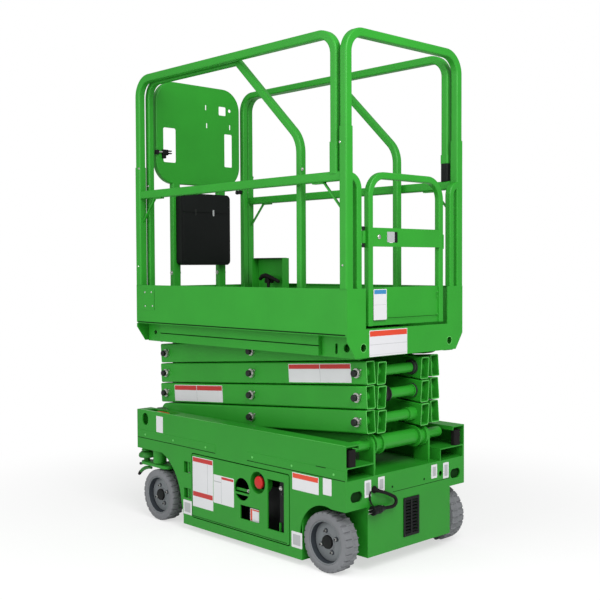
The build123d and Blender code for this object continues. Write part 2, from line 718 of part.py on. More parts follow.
def arm(start_x, start_z, way, y_inner, side, eye_start=False, round_start=False, round_end=False):
    """
    One rectangular arm tube from its lower pivot; way +1 rises forward, -1 rises rearward.
    An end is open beyond its pivot, or round about it, or a barrel between two round plates.
    """
    along = Vector(way * fold_cos, 0, fold_sin)
    begin = eye_setback if eye_start else 0 if round_start else -arm_overhang
    end = arm_length if round_end else arm_length + arm_overhang
    lower_pivot = Vector(start_x, 0, start_z)
    origin = lower_pivot + along * begin + Vector(0, side * (y_inner + arm_width / 2), 0)
    pivots = [lower_pivot + along * distance for distance in (0, arm_length / 2, arm_length)]
    near, far = side * y_inner, side * (y_inner + arm_width)
    with BuildPart() as made:
        with BuildSketch(Plane(origin=origin, x_dir=(0, 1, 0), z_dir=along)):
            RectangleRounded(arm_width, arm_height, corner_radius)
            RectangleRounded(arm_width - 2 * arm_wall, arm_height - 2 * arm_wall, 2, mode=Mode.SUBTRACT)
        extrude(amount=end - begin)
        if round_start:
            add(cross_cylinder(pivots[0].X, pivots[0].Z, near, far, arm_height / 2))
        if round_end:
            add(cross_cylinder(pivots[2].X, pivots[2].Z, near, far, arm_height / 2))
        if eye_start:
            meets_tube = pivots[0] + along * (eye_setback + 30)
            for plate_y in (max(near, far), min(near, far) + eye_plate):
                with BuildSketch(side_plane(plate_y)):
                    with BuildLine():
                        Line((pivots[0].X, pivots[0].Z), (meets_tube.X, meets_tube.Z))
                    trace(line_width=arm_height - 4)
                    with Locations((pivots[0].X, pivots[0].Z)):
                        Circle(arm_height / 2 - 2)
                extrude(amount=eye_plate)
            add(cross_cylinder(pivots[0].X, pivots[0].Z, near, far, base_tube_radius + 3))
        for pivot in pivots:
            add(cross_cylinder(pivot.X, pivot.Z, near, far, bush_radius))
        for pivot in pivots:
            add(cross_cylinder(pivot.X, pivot.Z, near - side, far + side, pin_radius + pin_play),
                mode=Mode.SUBTRACT)
    return made.part


def pivot_pins(x, z):
    """A pair of pins through the arms, each with a head outside."""
    outside = outer_arm_y + arm_width
    with BuildPart() as pins:
        for side in (1, -1):
            add(cross_cylinder(x, z, side * (inner_arm_y + 4), side * outside, pin_radius))
            add(cross_cylinder(x, z, side * outside, side * (outside + head_length), head_radius))
    return pins.part


def on_inner_arm(k, distance, height, slope):
    """Point of inner arm k, along it from its rear pivot and above its centre line, at a slope."""
    z = base_pivot_z + (k - 1) * arm_length * sin(slope) + distance * sin(slope) + height * cos(slope)
    return Vector(rear_pivot_x + distance * cos(slope) - height * sin(slope), 0, z)


# sleeves on the rear cross tubes of stages 2 to 4, from each end: length on the left, length on the right
cross_sleeves = {2: (20, 46), 3: (0, 14), 4: (0, 12)}

# the cylinder's two eyes: on the lowest inner arms, and on the second ones
base_eye_at = (1, base_eye_distance, base_eye_height)
rod_eye_at = (2, rod_eye_distance, rod_eye_height)
base_eye, rod_eye = on_inner_arm(*base_eye_at, fold), on_inner_arm(*rod_eye_at, fold)

for k in range(1, stages + 1):
    low, high = level(k - 1), level(k)
    middle_z = (low + high) / 2
    # inner arms rise forward: a welded frame with a round tube across each end
    with BuildPart() as inner_arms:
        for side in (1, -1):
            add(arm(rear_pivot_x, low, 1, inner_arm_y, side, eye_start=k == 1, round_end=k == stages))
        rear_radius = base_tube_radius if k == 1 else cross_tube_radius
        add(cross_cylinder(rear_pivot_x, low, -inner_arm_y, inner_arm_y, rear_radius))
        for side, sleeve in zip((1, -1), cross_sleeves.get(k, (0, 0))):
            if sleeve:
                add(cross_cylinder(rear_pivot_x, low, side * inner_arm_y, side * (inner_arm_y - sleeve),
                                   sleeve_radius))
        add(cross_cylinder(front_pivot_x, high, -inner_arm_y, inner_arm_y, cross_tube_radius))
        # cross tube with two lugs that hold an eye of the lift cylinder
        if k < 3:
            arm_number, eye_distance, eye_height = base_eye_at if k == 1 else rod_eye_at
            eye = on_inner_arm(k, eye_distance, eye_height, fold)
            tube = on_inner_arm(k, eye_distance, -eye_height, fold)
            add(cross_cylinder(tube.X, tube.Z, -inner_arm_y, inner_arm_y, lug_tube_radius))
            for side in (1, -1):
                with BuildSketch(side_plane(lug_outer_y if side > 0 else -lug_inner_y)):
                    with Locations((tube.X, tube.Z), (eye.X, eye.Z)):
                        Circle(lug_radius)
                    with BuildLine():
                        Line((tube.X, tube.Z), (eye.X, eye.Z))
                    trace(line_width=2 * lug_radius)
                extrude(amount=lug_outer_y - lug_inner_y)
            if k == 1:
                add(cross_cylinder(eye.X, eye.Z, -lug_outer_y - 6, lug_outer_y + 6, cylinder_pin_radius))
    finish_piece(inner_arms, f"inner_arms_{k}")
    # outer arms rise rearward
    with BuildPart() as outer_arms:
        for side in (1, -1):
            add(arm(front_pivot_x, low, -1, outer_arm_y, side, round_start=k == 1, round_end=k == stages))
    finish_piece(outer_arms, f"outer_arms_{k}")
    # pins that turn with the outer arms
    with BuildPart() as pins:
        if k > 1:
            add(pivot_pins(front_pivot_x, low))
        add(pivot_pins(middle_x, middle_z))
        if k < stages:
            add(pivot_pins(rear_pivot_x, high))
    finish_piece(pins, f"pivot_pins_{k}")

# rollers at the sliding ends, each with its shaft
with BuildPart() as base_rollers:
    for side in (1, -1):
        roller_inner_y, roller_outer_y = track_middle_y - roller_width / 2, track_middle_y + roller_width / 2
        add(cross_cylinder(front_pivot_x, level(0), side * (outer_arm_y + 4), side * (roller_outer_y + 2),
                           pin_radius))
        add(cross_cylinder(front_pivot_x, level(0), side * roller_inner_y, side * roller_outer_y,
                           base_roller_radius))
finish_piece(base_rollers, "base_rollers")

with BuildPart() as deck_rollers:
    for side in (1, -1):
        roller_outer_y = beam_web_y - 10
        add(cross_cylinder(front_pivot_x, level(stages), side * (inner_arm_y + 4), side * (roller_outer_y + 2),
                           pin_radius))
        add(cross_cylinder(front_pivot_x, level(stages), side * (roller_outer_y - roller_width - 2),
                           side * roller_outer_y, roller_radius))
finish_piece(deck_rollers, "deck_rollers")

# ======================= lift cylinder =======================

cylinder_line = rod_eye - base_eye
cylinder_length = cylinder_line.length
cylinder_way = cylinder_line.normalized()
raised = fold + radians(lift_limit)
raised_line = on_inner_arm(*rod_eye_at, raised) - on_inner_arm(*base_eye_at, raised)
turn = atan2(raised_line.Z, raised_line.X) - atan2(cylinder_line.Z, cylinder_line.X)
print("lift: platform rises", round(2 * stages * arm_length / 2 * (sin(raised) - fold_sin)))
print("lift cylinder: barrel turns on the arm by", (turn - radians(lift_limit)) / radians(lift_limit))
print("lift cylinder: rod slides, m per rad", (raised_line.length - cylinder_length) / 1000 / radians(lift_limit))
print("lift cylinder: stroke", raised_line.length - cylinder_length, "closed", cylinder_length)
print("lift cylinder: base eye", base_eye, "rod eye", rod_eye, "way", cylinder_way)


def cylinder_plane(distance):
    return Plane(origin=base_eye + cylinder_way * distance, x_dir=(0, 1, 0), z_dir=cylinder_way)


barrel_end = cylinder_length - rod_show
barrel_start, gland_length, barrel_bottom = 40, 40, 15
with BuildPart() as cylinder_barrel:
    add(cross_cylinder(base_eye.X, base_eye.Z, -eye_half_width, eye_half_width, eye_radius))
    with BuildSketch(cylinder_plane(barrel_start - 25)):
        Circle(eye_radius - 4)
    extrude(amount=30)
    with BuildSketch(cylinder_plane(barrel_start)):
        Circle(barrel_radius)
    extrude(amount=barrel_end - barrel_start)
    with BuildSketch(cylinder_plane(barrel_end - gland_length)):
        Circle(barrel_radius + 5)
    extrude(amount=gland_length)
    with BuildSketch(cylinder_plane(barrel_start + barrel_bottom)):
        Circle(rod_radius + 0.5)
    extrude(amount=barrel_end, mode=Mode.SUBTRACT)
    add(cross_cylinder(base_eye.X, base_eye.Z, -60, 60, cylinder_pin_radius + pin_play), mode=Mode.SUBTRACT)
finish_piece(cylinder_barrel, "cylinder_barrel")

with BuildPart() as cylinder_rod:
    with BuildSketch(cylinder_plane(barrel_start + barrel_bottom + running_gap)):
        Circle(rod_radius)
    extrude(amount=cylinder_length - barrel_start - barrel_bottom - running_gap)
    add(cross_cylinder(rod_eye.X, rod_eye.Z, -eye_half_width, eye_half_width, eye_radius))
finish_piece(cylinder_rod, "cylinder_rod")

# ======================= platform =======================

floor_rear = -half_length + sheet
floor_length = 2 * half_length - 2 * sheet - running_gap
floor_bottom = floor_top - sheet
beam_lip_low = level(stages) - roller_radius - 1
beam_lip_high = level(stages) + roller_radius + 1
side_beam_rear, side_beam_front = -half_length + 207, half_length - 132
side_beam_step_z, side_beam_step = floor_top - 54, 5
beam_eye_x, beam_eye_z, beam_eye_radius = -half_length + 64, floor_top - 55, 17
beam_slot_x, beam_slot_z = -half_length + 122, floor_top - 60
platform_lug_radius, platform_lug_thick = 28, 8
with BuildPart() as platform_floor:
    with BuildSketch(Plane.XY.offset(floor_bottom)):
        with Locations((floor_rear + floor_length / 2, 0)):
            Rectangle(floor_length, 2 * platform_half_width)
    extrude(amount=sheet)
    for side_name, side in sides:
        # C beam that the upper rollers run in
        web0, web1 = side * beam_web_y, side * (beam_web_y + plate)
        lip = side * beam_flange_y
        with BuildSketch(cross_plane(floor_rear)):
            with BuildLine():
                Polyline(
                    (web1, floor_bottom), (web1, beam_lip_low - plate), (lip, beam_lip_low - plate),
                    (lip, beam_lip_low), (web0, beam_lip_low), (web0, beam_lip_high), (lip, beam_lip_high),
                    (lip, beam_lip_high + plate), (web0, beam_lip_high + plate), (web0, floor_bottom),
                    close=True,
                )
            make_face()
        extrude(amount=floor_length)
        with BuildSketch(side_plane(web1 if side > 0 else web0)):
            with Locations((beam_eye_x, beam_eye_z)):
                Circle(beam_eye_radius)
            with Locations((beam_slot_x, beam_slot_z)):
                SlotOverall(44, 14, rotation=90)
            with Locations((half_length - 69, beam_eye_z + 4)):
                Circle(11)
        extrude(amount=plate, mode=Mode.SUBTRACT)
        # side beam proud of the web, with the step along it
        with BuildSketch(cross_plane(side_beam_rear)):
            with BuildLine():
                outer = side * (beam_web_y + plate + beam_flare)
                step = side * (beam_web_y + plate + beam_flare - 6)
                beam_low = beam_lip_low - plate + 3
                Polyline(
                    (web1, floor_bottom), (outer, floor_bottom), (outer, side_beam_step_z + side_beam_step),
                    (step, side_beam_step_z + side_beam_step), (step, side_beam_step_z),
                    (outer, side_beam_step_z), (outer, beam_low), (web1, beam_low), close=True,
                )
            make_face()
        extrude(amount=side_beam_front - side_beam_rear)
        # lugs and pins of the fixed upper pivots
        lug_y = outer_arm_y + arm_width + running_gap
        with BuildSketch(side_plane(lug_y + platform_lug_thick if side > 0 else -lug_y)):
            with Locations((rear_pivot_x, level(stages))):
                Circle(platform_lug_radius)
            with Locations((rear_pivot_x, (level(stages) + floor_bottom) / 2)):
                Rectangle(2 * platform_lug_radius, floor_bottom - level(stages))
        extrude(amount=platform_lug_thick)
        add(cross_cylinder(rear_pivot_x, level(stages), side * (outer_arm_y + 4),
                           side * (lug_y + platform_lug_thick), pin_radius))
finish_piece(platform_floor, "platform_floor")

toe_lip = 10
with BuildPart() as toe_boards:
    for side_name, side in sides:
        with BuildSketch(Plane.XY.offset(floor_top)):
            with Locations((sheet / 2, side * (platform_half_width - sheet / 2))):
                Rectangle(2 * half_length - sheet, sheet)
        extrude(amount=toe_top - floor_top)
        # folded lip along the top edge, between the posts
        with BuildSketch(Plane.XY.offset(toe_top - sheet)):
            with Locations((0, side * (platform_half_width - sheet - toe_lip / 2))):
                Rectangle(2 * (half_length - post_size - running_gap), toe_lip)
        extrude(amount=sheet)
finish_piece(toe_boards, "toe_boards")


def end_plate_outline(top, upper_half, opening=False):
    """Outline of an end plate in Y and Z with chamfered lower corners."""
    low, wide = end_plate_bottom, platform_half_width
    narrow = wide - corner_chamfer_y
    knee = low + corner_chamfer_z
    split = floor_top if opening else floor_top - running_gap
    with BuildLine() as outline:
        Polyline(
            (narrow, low), (wide, knee), (wide, split), (upper_half, split), (upper_half, top),
            (-upper_half, top), (-upper_half, split), (-wide, split), (-wide, knee), (-narrow, low),
            close=True,
        )
    return outline.line


with BuildPart() as rear_plate:
    with BuildSketch(cross_plane(-half_length)):
        with BuildLine():
            add(end_plate_outline(toe_top, platform_half_width - 0.01, opening=True))
        make_face()
        with Locations((0, toe_top)):
            Rectangle(2 * gate_opening_half, 2 * (toe_top - gate_opening_bottom), mode=Mode.SUBTRACT)
        with Locations((platform_eye_y, platform_eye_z), (-platform_eye_y, platform_eye_z)):
            Circle(platform_eye_radius, mode=Mode.SUBTRACT)
    extrude(amount=sheet)
finish_piece(rear_plate, "rear_plate")

# corner posts, mid rails with their stays, and the curved posts beside the gate
stub_y = rail_y - 4
rail_bottom = mid_rail_z - mid_rail_height / 2
post_inner_x = post_x - post_size / 2
stay_reach, stay_drop, stay_width = 98, 108, 10
stay_foot_length, stay_foot_height = 63, 6
with BuildPart() as lower_rails:
    for side_name, side in sides:
        for x, top in ((-post_x, rear_sleeve_top), (post_x, side_sleeve_top)):
            add(upright(x, side * rail_y, toe_top, top, post_size))
            stub_x = x + 2 if x < 0 else x - 2
            add(upright(stub_x, side * stub_y, floor_top, toe_top, rail_size))
        with BuildSketch(cross_plane(-post_inner_x - 2)):
            with Locations((side * rail_y, mid_rail_z)):
                RectangleRounded(rail_size, mid_rail_height, corner_radius)
        extrude(amount=2 * post_inner_x + 4)
        if side > 0:
            add(upright(loop_rear_x, side * rail_y, mid_rail_z + 10, side_sleeve_top, post_size))
        j_plane = cross_plane(-half_length + j_post_size / 2)
        j_points = [
            (side * rail_y, mid_rail_z - 2), (side * j_post_y, mid_rail_z - 2), (side * j_post_y, toe_top),
        ]
        add(bent_tube(j_plane, j_points, j_post_bend, j_post_size))
        # a stay from each end post up to a foot under the mid rail
        for end in (1, -1):
            stay_x, stay_z = end * (post_inner_x - stay_reach), rail_bottom - stay_drop
            with BuildSketch(side_plane(side * rail_y + stay_width / 2)):
                with BuildLine():
                    Polyline(
                        (stay_x, rail_bottom), (stay_x - end * stay_width, rail_bottom),
                        (end * post_inner_x, stay_z - stay_width), (end * post_inner_x, stay_z),
                        close=True,
                    )
                make_face()
            extrude(amount=stay_width)
            with BuildSketch(Plane.XY.offset(rail_bottom)):
                with Locations((stay_x - end * stay_foot_length / 2, side * rail_y)):
                    Rectangle(stay_foot_length, 2 * stay_width)
            extrude(amount=-stay_foot_height)
finish_piece(lower_rails, "lower_rails")

with BuildPart() as side_loops:
    for side_name, side in sides:
        foot = side_sleeve_top if side > 0 else loop_stop_top
        points = [
            (post_x, side_sleeve_top), (post_x, top_rail_z), (loop_rear_x, top_rail_z), (loop_rear_x, foot),
        ]
        add(bent_tube(side_plane(side * rail_y), points, bend_radius, rail_size))
        if side < 0:
            add(upright(loop_rear_x, side * rail_y, foot, side_sleeve_top, post_size))
finish_piece(side_loops, "side_loops")

with BuildPart() as loop_stop:
    stop_bottom = mid_rail_z + mid_rail_height / 2
    add(upright(loop_rear_x, -rail_y, stop_bottom, loop_stop_top, post_size - 2))
finish_piece(loop_stop, "loop_stop")

with BuildPart() as rear_loop:
    points = [
        (rail_y, rear_sleeve_top), (rail_y, top_rail_z), (-rail_y, top_rail_z), (-rail_y, rear_sleeve_top),
    ]
    add(bent_tube(cross_plane(-post_x), points, bend_radius, rail_size))
finish_piece(rear_loop, "rear_loop")

# ======================= entry gate =======================

gate_x = -half_length + 3 + gate_tube / 2
j_post_inner_y = j_post_y - j_post_size / 2
stile_y = gate_half_width - gate_tube / 2
gate_bar_middle = (gate_bar_bottom + gate_bar_top) / 2
gate_lug_height, gate_lug_overlap = 12, 8        # hinge lugs stand this far inside the bar's height
gate_barrel_height = gate_bar_top - gate_bar_bottom - 2 * (gate_lug_overlap + running_gap)
gate_barrel_radius = 10
with BuildPart() as gate:
    points = [
        (stile_y, gate_bottom), (stile_y, gate_top - gate_tube / 2),
        (-stile_y, gate_top - gate_tube / 2), (-stile_y, gate_bottom),
    ]
    add(bent_tube(cross_plane(gate_x), points, gate_bend, gate_tube))
    # latch bar with the latch's window
    with BuildSketch(cross_plane(gate_x - gate_tube / 2 + 1)):
        with Locations((0, gate_bar_middle)):
            Rectangle(2 * stile_y, gate_bar_top - gate_bar_bottom)
        with Locations((latch_window_y, gate_bar_middle)):
            Rectangle(latch_window_width, latch_window_height, mode=Mode.SUBTRACT)
    extrude(amount=gate_bar_depth)
    # kick plate
    with BuildSketch(cross_plane(gate_x - 6)):
        with Locations((0, gate_bottom + kick_plate_height / 2)):
            Rectangle(2 * stile_y, kick_plate_height)
    extrude(amount=sheet)
    # hinge barrel on the left stile
    with BuildSketch(Plane.XY.offset(gate_bar_middle - gate_barrel_height / 2)):
        with Locations((gate_hinge_x, gate_hinge_y)):
            Circle(gate_barrel_radius)
        with Locations((gate_hinge_x, gate_hinge_y - 8)):
            Rectangle(gate_barrel_radius, 16)
    extrude(amount=gate_barrel_height)
    with Locations((gate_hinge_x, gate_hinge_y, gate_bar_middle)):
        Cylinder(gate_pin_radius + pin_play, gate_barrel_height + 2, mode=Mode.SUBTRACT)
finish_piece(gate, "gate")

with BuildPart() as gate_hinge:
    with BuildSketch(Plane.XY.offset(gate_bar_bottom)):
        with Locations((gate_hinge_x, gate_hinge_y)):
            Circle(gate_pin_radius)
    extrude(amount=gate_bar_top - gate_bar_bottom)
    for lug_bottom in (gate_bar_bottom + gate_lug_overlap - gate_lug_height, gate_bar_top - gate_lug_overlap):
        with BuildSketch(Plane.XY.offset(lug_bottom)):
            with Locations((gate_hinge_x, gate_hinge_y)):
                Circle(gate_pin_radius + 2)
            with Locations((gate_hinge_x, (gate_hinge_y + j_post_inner_y) / 2)):
                Rectangle(2 * gate_pin_radius + 4, j_post_inner_y - gate_hinge_y)
        extrude(amount=gate_lug_height)
finish_piece(gate_hinge, "gate_hinge")

# ======================= roll-out extension =======================

with BuildPart() as slide_pads:
    for side in (1, -1):
        with BuildSketch(Plane.XY.offset(floor_top)):
            with Locations((half_length - slide_pad_setback - slide_pad_length / 2, side * slide_pad_y)):
                Rectangle(slide_pad_length, slide_pad_width)
        extrude(amount=extension_deck_top - sheet - seat_gap - floor_top)
finish_piece(slide_pads, "slide_pads")

deck_front = half_length - sheet
deck_length = deck_front - extension_rear_x
with BuildPart() as extension_deck:
    with BuildSketch(Plane.XY.offset(extension_deck_top - sheet)):
        with Locations((extension_rear_x + deck_length / 2, 0)):
            Rectangle(deck_length, 2 * extension_half_width)
    extrude(amount=sheet)
    # turned-down side edges
    for side in (1, -1):
        with BuildSketch(Plane.XY.offset(extension_deck_top - sheet)):
            with Locations((extension_rear_x + deck_length / 2, side * (extension_half_width - sheet / 2))):
                Rectangle(deck_length, sheet)
        extrude(amount=-deck_edge_height)
finish_piece(extension_deck, "extension_deck")

# plate across the front end of the extension
with BuildPart() as extension_front:
    with BuildSketch(cross_plane(deck_front)):
        with BuildLine():
            add(end_plate_outline(extension_front_top, extension_half_width + 2))
        make_face()
        with Locations((platform_eye_y, platform_eye_z), (-platform_eye_y, platform_eye_z)):
            Circle(platform_eye_radius, mode=Mode.SUBTRACT)
    extrude(amount=sheet)
finish_piece(extension_front, "extension_front")

with BuildPart() as extension_rails:
    for side in (1, -1):
        points = [
            (extension_post_x, extension_deck_top), (extension_post_x, extension_top_z),
            (extension_step_x, extension_top_z), (extension_rear_post_x, extension_step_z),
            (extension_rear_post_x, extension_deck_top),
        ]
        add(bent_tube(side_plane(side * extension_rail_y), points, extension_bends, extension_tube))
finish_piece(extension_rails, "extension_rails")

guard_y = guard_half_width - extension_tube / 2
guard_low = guard_bottom + extension_tube / 2
guard_high = guard_top - extension_tube / 2
guard_middle = (guard_low + guard_high) / 2
guard_rear_x = guard_x - extension_tube / 2
# openings of the guard's sheet: y, height above its middle, width, height
guard_windows = [
    (guard_y - 67, -64, 78, 174),
    (63 - guard_y, -64, 52, 174),
    (102 - guard_y, 142, 48, 46),
    (212 - guard_y, 150, 8, 26),
    (206 - guard_y, 57, 8, 26),
    (51 - guard_y, 61, 8, 26),
]
with BuildPart() as front_guard:
    with BuildLine(cross_plane(guard_x)) as guard_path:
        FilletPolyline(
            (guard_y, guard_low), (guard_y, guard_high), (-guard_y, guard_high), (-guard_y, guard_low),
            close=True, radius=guard_bend,
        )
    with BuildSketch(Plane(origin=guard_path.line @ 0, x_dir=(1, 0, 0), z_dir=guard_path.line % 0)):
        RectangleRounded(extension_tube, extension_tube, corner_radius)
    sweep()
    # sheet over the rear of the loop
    with BuildSketch(cross_plane(guard_rear_x)):
        with Locations((0, guard_middle)):
            RectangleRounded(2 * guard_y, guard_high - guard_low, guard_bend - 1)
        for y, rise, width, height in guard_windows:
            with Locations((y, guard_middle + rise)):
                RectangleRounded(width, height, width / 8, mode=Mode.SUBTRACT)
        with Locations((53 - guard_y, guard_middle + 148)):
            Circle(9, mode=Mode.SUBTRACT)
    extrude(amount=guard_sheet)
    # two legs down to the deck
    leg_y, leg_width = (leg_inner_y + leg_outer_y) / 2, leg_outer_y - leg_inner_y
    for side in (1, -1):
        with BuildSketch(Plane.XY.offset(extension_deck_top)):
            with Locations((guard_x, side * leg_y)):
                RectangleRounded(extension_tube, leg_width, corner_radius)
        extrude(amount=guard_low - extension_deck_top)
finish_piece(front_guard, "front_guard")

with BuildPart() as manual_box:
    with BuildSketch(cross_plane(guard_rear_x - manual_box_depth)):
        with Locations((manual_box_y, guard_bottom - manual_box_drop)):
            RectangleRounded(manual_box_width, manual_box_height, 24)
    extrude(amount=manual_box_depth)
finish_piece(manual_box, "manual_box")

# open cabinet for the hand control: back, two ends and a turned-over top edge
tray_back_y = -(extension_rail_y - extension_tube / 2 - running_gap)
tray_top = toe_top + control_tray_rise
with BuildPart() as control_tray:
    with BuildSketch(Plane.XY.offset(extension_deck_top)):
        with Locations((control_tray_x, tray_back_y + control_tray_depth / 2)):
            Rectangle(control_tray_length, control_tray_depth)
        with Locations((control_tray_x, tray_back_y + tray_sheet + control_tray_depth / 2)):
            Rectangle(control_tray_length - 2 * tray_sheet, control_tray_depth, mode=Mode.SUBTRACT)
    extrude(amount=tray_top - extension_deck_top)
    with BuildSketch(Plane.XY.offset(tray_top - tray_sheet)):
        with Locations((control_tray_x, tray_back_y + control_tray_lip / 2)):
            Rectangle(control_tray_length, control_tray_lip)
    extrude(amount=tray_sheet)
finish_piece(control_tray, "control_tray")

# ======================= charging cord =======================

cord_x = -half_length - plug_radius          # hangs close behind the rear plate
# from the hole round a loop to the plug: x, y, z
cord_points = [
    (-half_length + 3, cord_hole_y, cord_hole_z),
    (-half_length - 13, cord_hole_y, cord_hole_z),
    (cord_x - 2, cord_hole_y - 13, cord_hole_z - 6),
    (cord_x - 1, cord_hole_y - 44, cord_hole_z - 16),
    (cord_x - 1, cord_hole_y - 80, cord_hole_z - 32),
    (cord_x, cord_hole_y - 109, cord_hole_z - 46),
    (cord_x + 1, cord_hole_y - 117, cord_hole_z - 66),
    (cord_x, cord_hole_y - 103, cord_hole_z - 81),
    (cord_x - 1, cord_hole_y - 66, cord_hole_z - 81),
    (cord_x - 2, plug_rear_y + 8, plug_z),
]
# each bend takes up 0.45 of the shorter run beside it
cord_vectors = [Vector(*point) for point in cord_points]
cord_runs = [end - start for start, end in zip(cord_vectors, cord_vectors[1:])]
cord_radii = []
for before, after in zip(cord_runs, cord_runs[1:]):
    half_turn = radians(before.get_angle(after)) / 2
    cord_radii.append(0.45 * min(before.length, after.length) / tan(half_turn))
print("cord bend radii:", [round(radius, 1) for radius in cord_radii])
with BuildPart() as charge_cord:
    with BuildLine() as cord_path:
        FilletPolyline(*cord_points, radius=cord_radii)
    with BuildSketch(Plane(origin=cord_path.line @ 0, z_dir=cord_path.line % 0)):
        Circle(cord_radius)
    sweep()
finish_piece(charge_cord, "charge_cord")

# plug: a boot widening to a round body, drawn along the machine's Y and turned about its axis
with BuildPart() as charge_plug:
    with BuildSketch(Plane.XY.offset(plug_z)):
        with BuildLine():
            Polyline(
                (cord_x - 2, plug_rear_y),
                (cord_x - 2 - cord_radius - 1.5, plug_rear_y),
                (cord_x - 2 - 0.9 * plug_radius, plug_rear_y + plug_boot_length),
                (cord_x - 2 - plug_radius, plug_rear_y + plug_boot_length + 6),
                (cord_x - 2 - plug_radius, plug_face_y),
                (cord_x - 2, plug_face_y),
                close=True,
            )
        make_face()
    revolve(axis=Axis((cord_x - 2, plug_rear_y, plug_z), (0, 1, 0)))
    for pin_z in (plug_z + plug_pin_spacing / 2, plug_z - plug_pin_spacing / 2):
        add(cross_cylinder(cord_x - 2, pin_z, plug_face_y - 1, plug_face_y + plug_pin_length, plug_pin_radius))
    # the cord's end sits in the boot
    with Locations(Plane(origin=cord_vectors[-1], z_dir=cord_runs[-1])):
        Cylinder(cord_radius, 2 * (cord_vectors[-1].Y - plug_rear_y + 20), mode=Mode.SUBTRACT)
finish_piece(charge_plug, "charge_plug")
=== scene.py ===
"""Looks of the scissor lift: finishes of every surface and the small fittings on the solids."""
import json
import math

import bmesh
import bpy
from mathutils import Matrix, Vector


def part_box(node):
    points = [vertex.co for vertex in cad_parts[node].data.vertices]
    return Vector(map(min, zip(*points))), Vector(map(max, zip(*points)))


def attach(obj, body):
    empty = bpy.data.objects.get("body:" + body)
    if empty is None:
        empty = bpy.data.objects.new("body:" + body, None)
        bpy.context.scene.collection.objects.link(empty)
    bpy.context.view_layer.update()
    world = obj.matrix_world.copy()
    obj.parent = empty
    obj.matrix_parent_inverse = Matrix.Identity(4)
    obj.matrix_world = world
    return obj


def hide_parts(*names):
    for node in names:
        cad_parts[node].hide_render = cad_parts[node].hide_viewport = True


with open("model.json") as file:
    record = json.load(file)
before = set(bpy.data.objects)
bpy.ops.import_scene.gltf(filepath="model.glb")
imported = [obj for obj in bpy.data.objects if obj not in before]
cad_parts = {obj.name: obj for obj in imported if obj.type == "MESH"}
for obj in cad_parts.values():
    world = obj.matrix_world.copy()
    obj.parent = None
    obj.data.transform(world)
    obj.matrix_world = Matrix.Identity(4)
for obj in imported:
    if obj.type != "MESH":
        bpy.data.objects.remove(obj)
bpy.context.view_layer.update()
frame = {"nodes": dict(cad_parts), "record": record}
NODES = frame["nodes"]


# ---------------------------------------------------------------- camera, floor and light

LENS = 58.19                                # millimetres
CAMERA_PLACE = (-3.3424, 3.1138, 1.2389)    # metres
CAMERA_TURN = (-0.7604, -0.0353, -0.0046)   # yaw, pitch and roll in radians


def add_camera():
    """Eye level behind the machine's left rear corner, looking forward and to the right."""
    camera_data = bpy.data.cameras.new("camera")
    camera_data.sensor_width = 36
    camera_data.lens = LENS
    camera = bpy.data.objects.new("camera", camera_data)
    bpy.context.collection.objects.link(camera)
    yaw, pitch, roll = CAMERA_TURN
    ahead = Vector((math.cos(yaw) * math.cos(pitch), math.sin(yaw) * math.cos(pitch), math.sin(pitch)))
    level_right = Vector((math.sin(yaw), -math.cos(yaw), 0))
    upright = level_right.cross(ahead)
    right = level_right * math.cos(roll) + upright * math.sin(roll)
    up = upright * math.cos(roll) - level_right * math.sin(roll)
    turn = Matrix((right, up, -ahead)).transposed().to_4x4()
    camera.matrix_world = Matrix.Translation(CAMERA_PLACE) @ turn
    bpy.context.scene.camera = camera


def add_area_light(name, location, target, size, power):
    light_data = bpy.data.lights.new(name, "AREA")
    light_data.shape = "RECTANGLE"
    light_data.size, light_data.size_y = size
    light_data.energy = power
    light = bpy.data.objects.new(name, light_data)
    light.location = location
    direction = Vector(target) - Vector(location)
    light.rotation_euler = direction.to_track_quat("-Z", "Y").to_euler()
    bpy.context.collection.objects.link(light)


def add_floor():
    size, depth = 14, 0.0005
    mesh = bpy.data.meshes.new("floor")
    corners = [(-size, -size, -depth), (size, -size, -depth), (size, size, -depth), (-size, size, -depth)]
    mesh.from_pydata(corners, [], [(0, 1, 2, 3)])
    floor = bpy.data.objects.new("floor", mesh)
    bpy.context.collection.objects.link(floor)
    material = bpy.data.materials.new("pale_floor")
    material.use_nodes = True
    nodes, links = material.node_tree.nodes, material.node_tree.links
    nodes.clear()
    output = nodes.new("ShaderNodeOutputMaterial")
    mix = nodes.new("ShaderNodeMixShader")
    diffuse = nodes.new("ShaderNodeBsdfDiffuse")
    diffuse.inputs["Color"].default_value = (0.95, 0.95, 0.95, 1)
    glow = nodes.new("ShaderNodeEmission")
    glow.inputs["Strength"].default_value = 1.0
    path = nodes.new("ShaderNodeLightPath")
    # close to the machine the floor mixes in less white, so its lit colour and its real shadow show: a painted soft
    # shade round the machine; far off the floor is plain white
    place = nodes.new("ShaderNodeTexCoord")
    reach = nodes.new("ShaderNodeVectorMath")
    reach.operation = "LENGTH"
    links.new(place.outputs["Object"], reach.inputs[0])
    near_machine_shade = nodes.new("ShaderNodeMapRange")
    near_machine_shade.interpolation_type = "SMOOTHSTEP"
    near_machine_shade.inputs["From Min"].default_value = 0.8
    near_machine_shade.inputs["From Max"].default_value = 2.6
    near_machine_shade.inputs["To Min"].default_value = 0.6
    near_machine_shade.inputs["To Max"].default_value = 1.0
    links.new(reach.outputs["Value"], near_machine_shade.inputs["Value"])
    share = nodes.new("ShaderNodeMath")
    share.operation = "MULTIPLY"
    links.new(near_machine_shade.outputs["Result"], share.inputs[1])
    links.new(path.outputs["Is Camera Ray"], share.inputs[0])
    links.new(share.outputs[0], mix.inputs[0])
    links.new(diffuse.outputs[0], mix.inputs[1])
    links.new(glow.outputs[0], mix.inputs[2])
    links.new(mix.outputs[0], output.inputs["Surface"])
    floor.data.materials.append(material)


